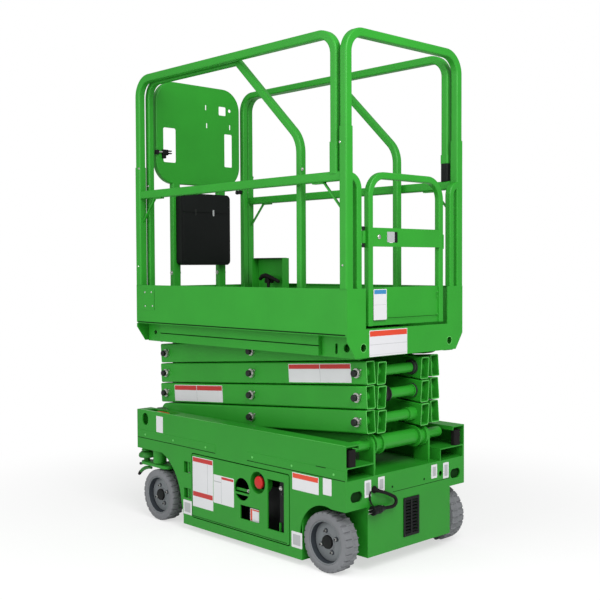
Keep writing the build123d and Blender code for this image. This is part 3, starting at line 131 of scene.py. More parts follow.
def add_world():
    """Even grey light all round, and white to the camera."""
    world = bpy.data.worlds.new("studio")
    bpy.context.scene.world = world
    world.use_nodes = True
    nodes, links = world.node_tree.nodes, world.node_tree.links
    nodes.clear()
    output = nodes.new("ShaderNodeOutputWorld")
    soft = nodes.new("ShaderNodeBackground")
    soft.inputs["Color"].default_value = (1, 1, 1, 1)
    soft.inputs["Strength"].default_value = 0.46
    white = nodes.new("ShaderNodeBackground")
    white.inputs["Color"].default_value = (1, 1, 1, 1)
    white.inputs["Strength"].default_value = 1.0
    mix = nodes.new("ShaderNodeMixShader")
    path = nodes.new("ShaderNodeLightPath")
    links.new(path.outputs["Is Camera Ray"], mix.inputs[0])
    links.new(soft.outputs[0], mix.inputs[1])
    links.new(white.outputs[0], mix.inputs[2])
    links.new(mix.outputs[0], output.inputs["Surface"])


add_camera()
add_world()
add_floor()
add_area_light("key", (-3.2, 1.2, 3.4), (0, 0, 1.0), (2.6, 2.6), 150)
add_area_light("side", (0.5, 4.0, 2.4), (0, 0, 1.0), (3.0, 2.4), 72)
bpy.context.scene.view_settings.view_transform = "Standard"


# ---------------------------------------------------------------- materials

def new_material(name, color, roughness, metallic=0.0, coat=0.0, vary=0.06, bump=0.0, bump_scale=400.0,
                 blotch_scale=6.0, specular=0.5):
    """A finish with slow changes of shade, a fine surface texture and uneven gloss."""
    material = bpy.data.materials.new(name)
    material.use_nodes = True
    nodes, links = material.node_tree.nodes, material.node_tree.links
    shader = nodes["Principled BSDF"]
    shader.inputs["Metallic"].default_value = metallic
    shader.inputs["Coat Weight"].default_value = coat
    shader.inputs["Coat Roughness"].default_value = 0.25
    shader.inputs["Specular IOR Level"].default_value = specular
    place = nodes.new("ShaderNodeTexCoord")
    blotch = nodes.new("ShaderNodeTexNoise")
    blotch.inputs["Scale"].default_value = blotch_scale
    blotch.inputs["Detail"].default_value = 5
    links.new(place.outputs["Object"], blotch.inputs["Vector"])
    ramp = nodes.new("ShaderNodeValToRGB")
    low, high = ramp.color_ramp.elements
    low.position, high.position = 0.3, 0.7
    darker = tuple(c * (1 - vary) for c in color)
    lighter = tuple(min(1, c * (1 + vary)) for c in color)
    low.color, high.color = (*darker, 1), (*lighter, 1)
    links.new(blotch.outputs["Fac"], ramp.inputs["Fac"])
    links.new(ramp.outputs["Color"], shader.inputs["Base Color"])
    gloss = nodes.new("ShaderNodeMapRange")
    gloss.inputs["To Min"].default_value = roughness * 0.88
    gloss.inputs["To Max"].default_value = min(1, roughness * 1.12)
    links.new(blotch.outputs["Fac"], gloss.inputs["Value"])
    links.new(gloss.outputs["Result"], shader.inputs["Roughness"])
    if bump:
        grain = nodes.new("ShaderNodeTexNoise")
        grain.inputs["Scale"].default_value = bump_scale
        grain.inputs["Detail"].default_value = 3
        links.new(place.outputs["Object"], grain.inputs["Vector"])
        relief = nodes.new("ShaderNodeBump")
        relief.inputs["Strength"].default_value = bump
        relief.inputs["Distance"].default_value = 0.0006
        links.new(grain.outputs["Fac"], relief.inputs["Height"])
        links.new(relief.outputs["Normal"], shader.inputs["Normal"])
    return material


GREEN = (0.0195, 0.275, 0.0175)
FINISH = {
    "green": new_material("green_powder_coat", GREEN, 0.42, vary=0.05, bump=0.12, bump_scale=520, specular=0.32),
    # darker copy of the same green paint for the chassis, doors and steering parts: painted shade
    "green_base": new_material("green_paint_painted_shade", (0.0155, 0.232, 0.0145), 0.44, vary=0.05, bump=0.12,
                               bump_scale=520, specular=0.3),
    # lighter, glossier green for edges, small bolt heads, washers and rings: a painted highlight
    "green_edge": new_material("green_painted_highlight", (0.10, 0.46, 0.09), 0.3, vary=0.12, specular=0.6),
    "dark_green": new_material("green_in_shade", (0.014, 0.17, 0.014), 0.46, vary=0.08, bump=0.1, specular=0.3),
    "deck_green": new_material("green_deck_coat", (0.02, 0.24, 0.02), 0.62, vary=0.1, bump=0.5, bump_scale=240,
                               specular=0.25),
    "tyre": new_material("grey_solid_rubber", (0.165, 0.170, 0.180), 0.85, vary=0.12, bump=0.35, bump_scale=260,
                         specular=0.25),
    "rim_grey": new_material("rim_grey_paint", (0.175, 0.190, 0.200), 0.48, vary=0.07, bump=0.08, specular=0.35),
    "black_plastic": new_material("black_plastic", (0.005, 0.006, 0.006), 0.5, vary=0.15, bump=0.3,
                                  bump_scale=700, specular=0.16),
    "red_plastic": new_material("red_plastic", (0.46, 0.010, 0.008), 0.35, vary=0.04, specular=0.3),
    "black_rubber": new_material("black_rubber", (0.008, 0.007, 0.007), 0.72, vary=0.2, bump=0.3, specular=0.14),
    "black_metal": new_material("black_oxide", (0.008, 0.009, 0.009), 0.45, vary=0.15, specular=0.3),
    "dark_metal": new_material("dark_metal", (0.02, 0.02, 0.022), 0.45, vary=0.2, specular=0.3),
    "steel": new_material("zinc_steel", (0.55, 0.55, 0.53), 0.35, vary=0.12, metallic=1.0),
    "chrome": new_material("hard_chrome", (0.75, 0.76, 0.78), 0.12, vary=0.04, metallic=1.0),
    "battery_grey": new_material("battery_case", (0.07, 0.07, 0.08), 0.55, vary=0.1, bump=0.2),
    "label_white": new_material("white_film", (0.61, 0.61, 0.63), 0.4, vary=0.03, bump=0.05, bump_scale=90),
    "label_edge": new_material("film_edge", (0.62, 0.63, 0.62), 0.4, vary=0.05, bump=0.05),
    "label_red": new_material("red_film", (0.44, 0.013, 0.010), 0.4, vary=0.04, bump=0.05, bump_scale=90),
    "label_orange": new_material("orange_film", (0.60, 0.045, 0.012), 0.4, vary=0.04, bump=0.05, bump_scale=90),
    "label_blue": new_material("blue_film", (0.03, 0.20, 0.42), 0.35, vary=0.04, bump=0.05, bump_scale=90),
    "label_grey": new_material("grey_film", (0.36, 0.37, 0.38), 0.4, vary=0.06, bump=0.05, bump_scale=90),
    "rim_shade": new_material("rim_inner_wall", (0.035, 0.042, 0.05), 0.6, vary=0.1, specular=0.2),
    # near-black green for thin gaps, folds, holes and pockets: painted shade
    "seam": new_material("painted_gap_shade", (0.004, 0.03, 0.004), 0.8, vary=0.2, specular=0.1),
}
SHADED_GREEN_NODES = ("chassis", "tub", "door", "knuckle", "kingpin", "rear_hubs")
SLOT_OF_NODE = {part["node"]: part["material_slot"] for part in frame["record"]["subparts"]}
for name, node in NODES.items():
    node.data.materials.clear()
    finish = SLOT_OF_NODE[name]
    if name.startswith("pivot_pins"):
        finish = "steel"
    # the chassis, doors and steering parts take the darker copy of the green: painted shade
    elif finish == "green" and name.startswith(SHADED_GREEN_NODES):
        finish = "green_base"
    node.data.materials.append(FINISH[finish])


# ---------------------------------------------------------------- mesh building, sizes in millimetres

def rounded(a0, a1, b0, b1, radius=0.0, steps=4):
    """Outline of a rectangle with round corners."""
    a0, a1, b0, b1 = min(a0, a1), max(a0, a1), min(b0, b1), max(b0, b1)
    radius = max(0.01, min(radius, (a1 - a0) / 2 - 0.01, (b1 - b0) / 2 - 0.01))
    outline = []
    corners = ((a1, b1, 0), (a0, b1, 1), (a0, b0, 2), (a1, b0, 3))
    for a, b, quarter in corners:
        middle_a = a - radius if quarter in (0, 3) else a + radius
        middle_b = b - radius if quarter in (0, 1) else b + radius
        for i in range(steps + 1):
            angle = math.pi / 2 * (quarter + i / steps)
            outline.append((middle_a + radius * math.cos(angle), middle_b + radius * math.sin(angle)))
    return outline


def side_face(side, level):
    return lambda a, b, h=0: (a, side * (level + h), b)


def rear_face(level):
    return lambda a, b, h=0: (level - h, a, b)


def top_face(level):
    return lambda a, b, h=0: (a, b, level + h)


def sloped(face, a, b, angle):
    """The same face with its first direction turned up by an angle about a point."""
    along, across = math.cos(angle), math.sin(angle)
    return lambda s, t, h=0: face(a + s * along - t * across, b + s * across + t * along, h)


class Form:
    """Points, faces and finishes of one piece, gathered from simple shapes."""

    def __init__(self):
        self.points, self.faces, self.looks, self.soft = [], [], [], []

    def add_face(self, corners, look, soft=False):
        self.faces.append(corners)
        self.looks.append(look)
        self.soft.append(soft)

    def skin(self, rings, look, soft=False, capped=True, looped=False):
        first, count = len(self.points), len(rings[0])
        for ring in rings:
            self.points.extend(ring)
        total = len(rings) * count
        for r in range(len(rings) if looped else len(rings) - 1):
            for i in range(count):
                j = (i + 1) % count
                a, b = r * count + i, r * count + j
                c, d = (b + count) % total, (a + count) % total
                self.add_face((first + a, first + b, first + c, first + d), look, soft)
        if capped and not looped:
            self.add_face(tuple(first + i for i in range(count)), look)
            self.add_face(tuple(first + total - count + i for i in range(count)), look)

    def slab(self, place, box, low, high, look, radius=1.5, bevel=0.5):
        """A plate on a face, with its front edge chamfered."""
        a0, a1, b0, b1 = box
        a0, a1, b0, b1 = min(a0, a1), max(a0, a1), min(b0, b1), max(b0, b1)
        rings = []
        for inset, height in ((0, low), (0, high - bevel), (bevel, high)):
            outline = rounded(a0 + inset, a1 - inset, b0 + inset, b1 - inset, radius)
            rings.append([place(a, b, height) for a, b in outline])
        self.skin(rings, look)

    def turned(self, place, middle, profile, look, sides=28, turn=0.0, hollow=False):
        """A shape of revolution about the face's normal, from (radius, height) pairs."""
        rings = []
        for radius, height in profile:
            ring = []
            for i in range(sides):
                angle = turn + math.tau * i / sides
                ring.append(place(middle[0] + radius * math.cos(angle),
                                  middle[1] + radius * math.sin(angle), height))
            rings.append(ring)
        self.skin(rings, look, soft=sides > 8, looped=hollow)

    def frame(self, place, box, border, low, high, look, radius=6):
        """A flat rim round an opening."""
        a0, a1, b0, b1 = box
        outer = rounded(a0, a1, b0, b1, radius)
        inner = rounded(a0 + border, a1 - border, b0 + border, b1 - border, radius - border / 2)
        rings = [[place(a, b, height) for a, b in outline]
                 for outline, height in ((outer, low), (outer, high), (inner, high), (inner, low))]
        self.skin(rings, look, looped=True)

    def bolt(self, place, middle, size=6.5, look="steel", base=0.0):
        """Hexagon head on its washer."""
        self.turned(place, middle, [(size * 1.5, base), (size * 1.5, base + 1.1), (size * 1.4, base + 1.6)],
                    look, 20)
        self.turned(place, middle, [(size, base + 1.4), (size, base + size * 0.75), (size * 0.82, base + size)],
                    look, 6, turn=middle[0])

    def rivet(self, place, middle, size=5.0, look="steel", base=0.0):
        """Low domed head."""
        profile = [(size, base), (size * 0.96, base + 0.7), (size * 0.7, base + 1.8), (size * 0.25, base + 2.3)]
        self.turned(place, middle, profile, look, 16)

    def tube(self, line, radii, look, sides=12):
        """A round tube along a line, with one radius or one for each point."""
        if not isinstance(radii, (list, tuple)):
            radii = [radii] * len(line)
        line = [Vector(point) for point in line]
        normal = None
        rings = []
        for i, point in enumerate(line):
            way = (line[min(i + 1, len(line) - 1)] - line[max(i - 1, 0)]).normalized()
            if normal is None:
                normal = way.orthogonal().normalized()
            normal = (normal - way * normal.dot(way)).normalized()
            other = way.cross(normal)
            rings.append([tuple(point + (normal * math.cos(math.tau * k / sides)
                                         + other * math.sin(math.tau * k / sides)) * radii[i])
                          for k in range(sides)])
        self.skin(rings, look, soft=True)

    def ribbon(self, line, across, width, thickness, look):
        """A flat strap along a line; across is the direction of its width."""
        line, across = [Vector(point) for point in line], Vector(across).normalized()
        rings = []
        for i, point in enumerate(line):
            way = (line[min(i + 1, len(line) - 1)] - line[max(i - 1, 0)]).normalized()
            out = way.cross(across).normalized() * thickness / 2
            wide = across * width / 2
            rings.append([tuple(point + wide * a + out * b) for a, b in ((-1, -1), (1, -1), (1, 1), (-1, 1))])
        self.skin(rings, look)

    def piece(self, name, body, slot="green"):
        """Make the gathered shapes one object that moves with a body."""
        mesh = bpy.data.meshes.new(name)
        mesh.from_pydata([[c / 1000 for c in point] for point in self.points], [], self.faces)
        used = sorted(set(self.looks))
        for look in used:
            mesh.materials.append(FINISH[look])
        for polygon, look, soft in zip(mesh.polygons, self.looks, self.soft):
            polygon.material_index = used.index(look)
            polygon.use_smooth = soft
        shell = bmesh.new()
        shell.from_mesh(mesh)
        bmesh.ops.recalc_face_normals(shell, faces=shell.faces)
        shell.to_mesh(mesh)
        shell.free()
        mesh.set_sharp_from_angle(angle=math.radians(35))
        made = bpy.data.objects.new(name, mesh)
        bpy.context.collection.objects.link(made)
        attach(made, body)
        return made


def sign(form, place, box, bands=(), look="label_white", thick=0.5):
    """A blank plate with rounded corners; bands are (a0, a1, b0, b1, look)."""
    a0, a1, b0, b1 = box
    edge = 1.2
    form.slab(place, (a0, a1, b0, b1), 0, thick, "label_edge", radius=3, bevel=0.2)
    form.slab(place, (min(a0, a1) + edge, max(a0, a1) - edge, min(b0, b1) + edge, max(b0, b1) - edge),
              thick - 0.1, thick + 0.15, look, radius=2.5, bevel=0.1)
    for band in bands:
        form.slab(place, band[:4], thick, thick + 0.4, band[4], radius=1, bevel=0.1)


# ---------------------------------------------------------------- charging cord

# the route from the grommet to the plug, in metres
cord_route = [
    (-0.722, 0.216, 0.333), (-0.738, 0.216, 0.333), (-0.747, 0.203, 0.327), (-0.746, 0.172, 0.317),
    (-0.746, 0.136, 0.301), (-0.745, 0.107, 0.287), (-0.744, 0.099, 0.267), (-0.745, 0.113, 0.252),
    (-0.746, 0.150, 0.252), (-0.747, 0.186, 0.255),
]
cord_diameter = 0.014


def cord_curve(name, bevel):
    curve = bpy.data.curves.new(name, "CURVE")
    curve.dimensions = "3D"
    curve.resolution_u = 12
    curve.bevel_depth = bevel
    curve.bevel_resolution = 6
    curve.use_fill_caps = True
    spline = curve.splines.new("NURBS")
    spline.points.add(len(cord_route) - 1)
    for point, place in zip(spline.points, cord_route):
        point.co = (*place, 1)
    spline.order_u = 3
    spline.use_endpoint_u = True
    made = bpy.data.objects.new(name, curve)
    bpy.context.collection.objects.link(made)
    return made


def cord_line():
    """Points along the cord's middle, in millimetres."""
    bare = cord_curve("cord_line", 0)
    mesh = bpy.data.meshes.new_from_object(bare)
    line = [tuple(c * 1000 for c in vertex.co) for vertex in mesh.vertices]
    bpy.data.meshes.remove(mesh)
    bpy.data.objects.remove(bare)
    return line


# ---------------------------------------------------------------- the frame's own measures, in millimetres

def low_high(node):
    return [[c * 1000 for c in corner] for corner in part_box(node)]


WALL = low_high("chassis_side_left")[1][1]
REAR = low_high("chassis_deck")[0][0]
FRONT = low_high("chassis_deck")[1][0]
GATE_REAR = low_high("gate")[0][0]
TOE_Y = low_high("toe_boards")[1][1]
PLATE_REAR = low_high("rear_plate")[0][0]
ARM_Y = low_high("outer_arms_1")[1][1]
FLOOR_TOP = low_high("toe_boards")[0][2]
DECK_TOP = low_high("extension_deck")[1][2]
rear_plane = rear_face(REAR)
SIDES = (("left", 1), ("right", -1))


# ---------------------------------------------------------------- charging cord with its relief and plug

def add_cord():
    cord = cord_curve("charging_cord", cord_diameter / 2)
    cord.data.materials.append(FINISH["black_rubber"])
    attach(cord, "chassis")
    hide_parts("charge_cord")
    line = cord_line()
    radius = cord_diameter / 2 * 1000

    relief_length, ribs = 26, 5
    relief = Form()
    travelled, part, radii = 0, [line[0]], [radius + 4.5]
    for before, after in zip(line, line[1:]):
        step = (Vector(after) - Vector(before)).length
        travelled += step
        if travelled > relief_length:
            break
        share = travelled / relief_length
        rib = 0.8 if int(share * ribs * 2) % 2 == 0 else 0
        part.append(after)
        radii.append(radius + 4.0 * (1 - share) + rib + 0.4)
    relief.tube(part, radii, "black_rubber", sides=18)
    relief_piece = relief.piece("cord_strain_relief", "chassis", "black_rubber")

    low, high = low_high("charge_plug")
    middle_x, middle_z = (low[0] + high[0]) / 2, (low[2] + high[2]) / 2
    start, end = low[1], high[1]
    pin_length = 26
    body_end = end - pin_length
    shell = body_end - start
    plug_face = lambda a, b, h=0: (middle_x + a, start + h, middle_z + b)
    plug = Form()
    grip = [(8.5, 0), (10.5, 2), (11, shell * 0.18), (15.5, shell * 0.30), (17.5, shell * 0.42)]
    grip += [(17.5, shell * 0.50), (16.3, shell * 0.52), (16.3, shell * 0.56), (17.5, shell * 0.58)]
    grip += [(17.5, shell * 0.64), (16.3, shell * 0.66), (16.3, shell * 0.70), (17.5, shell * 0.72)]
    grip += [(18.0, shell * 0.84), (19.6, shell * 0.86), (19.6, shell * 0.97), (18.6, shell)]
    plug.turned(plug_face, (0, 0), grip, "black_plastic", 32)
    for pin_z in (-7, 7):
        plug.slab(plug_face, (-2.5, 2.5, pin_z - 1.2, pin_z + 1.2), shell - 1, shell + pin_length - 1, "steel",
                  radius=0.8, bevel=0.8)
    plug_piece = plug.piece("charging_plug", "chassis", "black_plastic")
    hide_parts("charge_plug")

    strap = Form()
    strap.ribbon([(REAR - 1.5, 236, 330), (REAR - 3, 244, 316), (REAR - 5, 245, 296), (REAR - 9, 239, 278),
                  (REAR - 12, 232, 270)], (0, 1, 0.3), 9, 1.6, "black_rubber")
    strap.piece("plug_strap", "chassis", "black_rubber")


# ---------------------------------------------------------------- wheels

# columns: name, side
WHEELS = (("front_left", 1), ("front_right", -1), ("rear_left", 1), ("rear_right", -1))


def add_wheel(name, side):
    low, high = low_high(f"tyre_{name}")
    axle_x, axle_z = (low[0] + high[0]) / 2, (low[2] + high[2]) / 2
    outer = high[1] if side > 0 else -low[1]
    width = high[1] - low[1]
    radius = (high[0] - low[0]) / 2
    face = side_face(side, outer)

    # tyre: two rows of blocks, set half a block apart, and smooth walls with a raised ring
    blocks, groove = 26, 5.5
    # columns: share of one block's pitch, whether the first row is sunk there
    phases = ((0.00, 1), (0.14, 0), (0.80, 0), (0.94, 1))
    wall_in, wall_out = 88, radius - 14
    section = [(wall_in, -6, 0), (wall_in + 3, -1.5, 0), (wall_in + 6, -1, 0), (wall_in + 8, 0, 0),
               (wall_out - 4, 0, 0), (wall_out - 1, -1.8, 0), (wall_out + 4, -1.8, 0.35), (radius - 3, -3.5, 1),
               (radius - 0.5, -9, 1), (radius, -15, 1), (radius, -width / 2 + 6, 1),
               (radius, -width / 2 + 4, 0.5)]
    mirrored = [(r, -width - h, cut) for r, h, cut in reversed(section)]
    tyre = Form()
    rings = []
    for i in range(blocks):
        for phase, sunk in phases:
            angle = math.tau * (i + phase) / blocks
            ring = []
            for row, half in ((0, section), (1, mirrored)):
                for r, h, cut in half:
                    low_here = sunk if row == 0 else 1 - sunk
                    drop = groove * cut * low_here
                    ring.append(face(axle_x + (r - drop) * math.cos(angle),
                                     axle_z + (r - drop) * math.sin(angle), h))
            rings.append(ring)
    tyre.skin(rings, "tyre", soft=True, looped=True)
    tyre_piece = tyre.piece(f"tread_tyre_{name}", f"wheel_{name}", "tyre")
    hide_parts(f"tyre_{name}")

    # rim: deep dished disc with four studs round a black cap
    rim = Form()
    rim.turned(face, (axle_x, axle_z), [
        (88.5, -width + 6), (88.5, -5), (86.5, -3.5), (84.5, -4.5), (84, -7), (83.8, -width + 6),
    ], "rim_grey", 72, hollow=True)
    rim.turned(face, (axle_x, axle_z), [(83.9, -6.5), (82, -32), (80, -32), (80, -34), (83.9, -34)],
               "rim_shade", 72, hollow=True)
    rim.turned(face, (axle_x, axle_z), [
        (22, -width + 6), (30, -width + 8), (81, -34), (80, -31), (77, -29), (38, -28.5), (35, -27), (32, -22),
        (27, -21.5),
    ], "rim_grey", 72)
    rim.turned(face, (axle_x, axle_z), [(28, -24), (28, -16), (26.5, -13), (18, -12), (4, -11.4)],
               "black_plastic", 40)
    for i in range(4):
        angle = math.radians(67 + 90 * i)
        stud = (axle_x + 45 * math.cos(angle), axle_z + 45 * math.sin(angle))
        rim.turned(face, stud, [(10, -28.5), (9.5, -26.5), (7.4, -26)], "rim_shade", 20)
        rim.turned(face, stud, [(6.6, -27), (6.6, -20), (5.2, -18.5)], "steel", 6, turn=angle)
        rim.turned(face, stud, [(3.8, -20), (3.8, -14.5), (3, -13.8)], "dark_metal", 12)
    rim_piece = rim.piece(f"dished_rim_{name}", f"wheel_{name}", "rim_grey")
    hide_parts(f"rim_{name}")


# ---------------------------------------------------------------- chassis sides

# columns: x and z of the bolts along the cover strips
STRIP_BOLTS = (640, 409), (409, 409), (160, 409), (-168, 409), (-418, 409), (-662, 409)
# columns: x0, x1, z0, z1, header depth, header look
SIDE_SIGNS = (
    (-576, -420, 312, 384, 20, "label_orange"),
    (-649, -600, 320, 387, 0, None),
    (269, 334, 73, 140, 0, None),
    (-478, -414, 70, 137, 0, None),
    (494, 548, 433, 512, 0, None),
)


def add_chassis_side(side_name, side):
    wall = side_face(side, WALL)
    form = Form()
    # cover strips in the darker green: painted shade
    for x0, x1 in ((91, FRONT - 1), (REAR + 1, -131)):
        form.slab(wall, (x0, x1, 392.5, 430), -0.5, 1.2, "green_base", radius=1, bevel=0.8)
        # dark line under the strip: painted shade in the gap
        form.slab(wall, (x0, x1, 389, 392), -0.5, 0.5, "seam", radius=0.5, bevel=0.1)
    # short dark line at the top of the rear strip: painted shade
    form.slab(wall, (-617, -561, 428, 430.5), 0, 1.8, "seam", radius=0.5, bevel=0.1)
    for x, z in STRIP_BOLTS:
        # bolt heads in the lighter green: painted highlight
        form.bolt(wall, (x, z), 3.4, "green_edge", base=1.2)
    for x0, x1, z0, z1, header, look in SIDE_SIGNS:
        bands = [(x0 + 3, x1 - 3, z1 - 3 - header, z1 - 3, look)] if header else ()
        sign(form, wall, (x0, x1, z0, z1), bands)
        if not header and z1 < 200:
            sign(form, side_face(side, WALL + 0.5), (x0 + 8, x1 - 8, z0 + 10, z1 - 10), look="label_grey", thick=0.3)
    # bolts in the hinge pockets
    pocket = side_face(side, WALL - 20)
    for x, z in ((280, 315), (302, 171)):
        form.bolt(pocket, (x, z), 6, "steel")
    # painted highlight along the top edge of the channel
    top = top_face(low_high("chassis_side_left")[1][2])
    form.slab(top, (REAR + 4, FRONT - 4, side * (WALL - 9), side * (WALL - 3)), -1, 0.7, "green_edge", radius=2)
    form.piece(f"chassis_fittings_{side_name}", "chassis")

    beacon = Form()
    shelf = top_face(518)
    beacon.slab(shelf, (521, 614, side * 318, side * 366), -30, 4, "label_orange", radius=9, bevel=3)
    # block in the darker green: painted shade
    beacon.slab(shelf, (474, 554, side * 306, side * 316), -30, 6, "green_base", radius=3, bevel=1)
    beacon.piece(f"front_channel_block_{side_name}", "chassis", "red_plastic")

    # steering stop with its stud, nut and horn in front of the wheel
    horn = Form()
    y = side * 342
    up = lambda a, b, h=0: (a, b, h)
    horn.turned(up, (683, y), [(14, 252), (20, 256), (20, 262), (12, 264), (12, 280), (24, 284), (42, 288),
                               (45, 294), (43, 304), (34, 314), (16, 318)], "dark_green", 28)
    horn.turned(up, (741, y), [(9, 240), (9, 249), (7, 251)], "dark_metal", 6)
    horn.tube([(650, y, 236), (676, y, 235), (702, y, 229), (727, y, 217), (744, y, 204)],
              [6, 8, 9, 9, 8], "dark_green", 16)
    horn.tube([(742, y, 206), (752, y, 197), (760, y, 188)], [8.4, 8.6, 7], "black_rubber", 16)
    horn.piece(f"steering_stop_{side_name}", "chassis", "dark_green")


# ---------------------------------------------------------------- doors

# columns: x0, x1, z0, z1, and bands as x0, x1, z0, z1, look
DOOR_SIGNS = (
    ((108, 260, 122, 355), ((111, 257, 332, 352, "label_red"), (111, 257, 171, 193, "label_red"),
                            (147, 149, 196, 330, "label_grey"))),
    ((-40, 105, 165, 294), ((-37, 46, 279, 290, "label_red"), (47, 49, 168, 291, "label_grey"),
                            (50, 102, 262, 266, "label_grey"))),
)


def add_door(side_name, side):
    door = f"door_{side_name}"
    low, high = low_high(door)
    outer = high[1] if side > 0 else -low[1]
    skin = side_face(side, outer)
    form = Form()
    for box, bands in DOOR_SIGNS:
        sign(form, skin, box, bands)
    if side > 0:
        # gauge bar across its round window, in the darker green: painted shade
        form.slab(side_face(side, outer - 16), (-150, -44, 246, 258), 0, 5, "green_base", radius=2)
        form.bolt(side_face(side, outer - 11), (-127, 253), 5, "steel")
        # sticker plate in the square window
        sign(form, side_face(side, outer - 10), (-214, -139, 124, 181),
             ((-153, -142, 127, 178, "label_orange"), (-211, -155, 172, 178, "label_orange")))
        # black upright and its bolts in the tall window
        form.slab(side_face(side, outer - 26), (-372, -326, 112, 334), 0, 12, "black_plastic", radius=3, bevel=2)
        form.bolt(side_face(side, outer - 14), (-334, 298), 6, "steel")
        form.bolt(side_face(side, outer - 14), (-344, 274), 5, "dark_metal")
    # dark line along the door's lower edge: painted shade in the fold
    form.slab(skin, (low[0] + 14, high[0] - 14, low[2] + 4, low[2] + 6.5), -0.3, 0.4, "seam", radius=1, bevel=0.1)
    form.piece(f"door_fittings_{side_name}", door)


def add_stop_button():
    low, high = low_high("stop_button")
    middle = ((low[0] + high[0]) / 2, (low[2] + high[2]) / 2)
    head = side_face(1, high[1])
    form = Form()
    form.turned(head, middle, [(12, low[1] - high[1]), (12, -17), (24, -16), (27.5, -13), (28, -8), (26.5, -3.5),
                               (22, -1), (12, 0), (3, 0.2)], "red_plastic", 40)
    form.turned(side_face(1, low[1]), middle, [(36, -1), (36, 3), (33, 5), (18, 5.5)], "black_plastic", 40)
    made = form.piece("mushroom_button", "door_left", "red_plastic")
    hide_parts("stop_button")


# ---------------------------------------------------------------- rear of the chassis

def add_chassis_rear():
    form = Form()
    for y0, y1, z0, z1 in ((233, 272, 307, 376), (151, 191, 319, 378), (-272, -233, 307, 376),
                           (-191, -151, 319, 378)):
        sign(form, rear_plane, (y0, y1, z0, z1))
        sign(form, rear_face(REAR - 0.5), (y0 + 7, y1 - 7, z0 + 8, z1 - 8), look="label_grey", thick=0.2)
    # dark line along the rear plate's fold, two dark spots and two recessed pockets: painted shade
    form.slab(rear_plane, (-280, 100, 303, 305), 0, 0.5, "seam", radius=0.5, bevel=0.1)
    for y in (-103, 103):
        form.turned(rear_plane, (y, 326), [(5, 0), (5, 0.5)], "seam", 16)
    for y in (-319, 319):
        form.slab(rear_face(REAR + 14), (y - 38, y + 38, 295, 343), 0, 2, "seam", radius=20)
    grille_low, grille_high = low_high("vent_grille")
    grille_face = rear_face(grille_low[0])
    inset = 7
    for y in (grille_low[1] + inset, grille_high[1] - inset):
        for z in (grille_low[2] + inset, grille_high[2] - inset):
            form.rivet(grille_face, (y, z), 3.6, "black_metal")
    for y, z in ((188, 236), (168, 232)):
        form.bolt(rear_plane, (y, z + 22), 5, "steel")
    form.piece("chassis_rear_fittings", "chassis")


# ---------------------------------------------------------------- scissor stack

ARM_LENGTH, ARM_WIDTH, ARM_HEIGHT, OVERHANG = 1320, 52, 95, 48
LEVEL_0, LEVEL_STEP, FRONT_PIVOT, REAR_PIVOT = 501, 100, 664.2, -652
FOLD = LEVEL_STEP / ARM_LENGTH
LEAN = math.asin(FOLD)
STAGES = 4


def level_of(k):
    """Height of the lower pivots of arm pair k."""
    return LEVEL_0 + (k - 1) * LEVEL_STEP


def add_pins():
    """Black caps and zinc washers on the ends of the pivot pins."""
    for k in range(1, STAGES + 1):
        bottom = level_of(k)
        spots = [(6, bottom + LEVEL_STEP / 2)]
        if k > 1:
            spots.append((FRONT_PIVOT, bottom))
        if k < STAGES:
            spots.append((REAR_PIVOT, bottom + LEVEL_STEP))
        form = Form()
        for _, side in SIDES:
            face = side_face(side, ARM_Y)
            for spot in spots:
                form.turned(face, spot, [(15.5, 9), (15.5, 14), (14, 15)], "steel", 6, turn=0.4 * k)
                form.turned(face, spot, [(13, 14), (14.5, 16), (14.5, 27), (13, 29), (4, 29.5)],
                            "black_metal", 28)
                form.turned(face, (spot[0] - 20, spot[1] + 15), [(4, 0), (4, 5), (3, 6)], "steel", 6)
        form.piece(f"pin_caps_{k}", f"outer_{k}", "black_metal")


INNER_Y = low_high("inner_arms_2")[1][1] - ARM_WIDTH


def end_highlight_rim(form, pivot_x, pivot_z, way, past, y):
    """Lighter rim round the open end of an arm, past its pivot: a painted highlight."""
    along = Vector((way * math.cos(LEAN), 0, math.sin(LEAN)))
    across = Vector((-way * math.sin(LEAN), 0, math.cos(LEAN)))
    middle = Vector((pivot_x, 0, pivot_z)) + along * past
    outward = along * (1 if past > 0 else -1)
    place = lambda a, b, h=0: tuple(middle + Vector((0, a, 0)) + across * b + outward * h)
    form.frame(place, (y, y + ARM_WIDTH, -ARM_HEIGHT / 2, ARM_HEIGHT / 2), 2.2, -1, 0.8, "green_edge", radius=7)


def add_end_highlight_rims():
    for k in range(1, STAGES + 1):
        low = level_of(k)
        outer, inner = Form(), Form()
        for _, side in SIDES:
            outer_y = side * ARM_Y - (ARM_WIDTH if side > 0 else 0)
            inner_y = side * (INNER_Y + (0 if side > 0 else ARM_WIDTH))
            if k > 1:
                end_highlight_rim(outer, FRONT_PIVOT, low, -1, -OVERHANG, outer_y)
                end_highlight_rim(inner, REAR_PIVOT, low, 1, -OVERHANG, inner_y)
            if k < STAGES:
                end_highlight_rim(outer, FRONT_PIVOT, low, -1, ARM_LENGTH + OVERHANG, outer_y)
                end_highlight_rim(inner, REAR_PIVOT, low, 1, ARM_LENGTH + OVERHANG, inner_y)
        outer.piece(f"outer_arm_highlight_rims_{k}", f"outer_{k}")
        inner.piece(f"inner_arm_highlight_rims_{k}", f"inner_{k}")


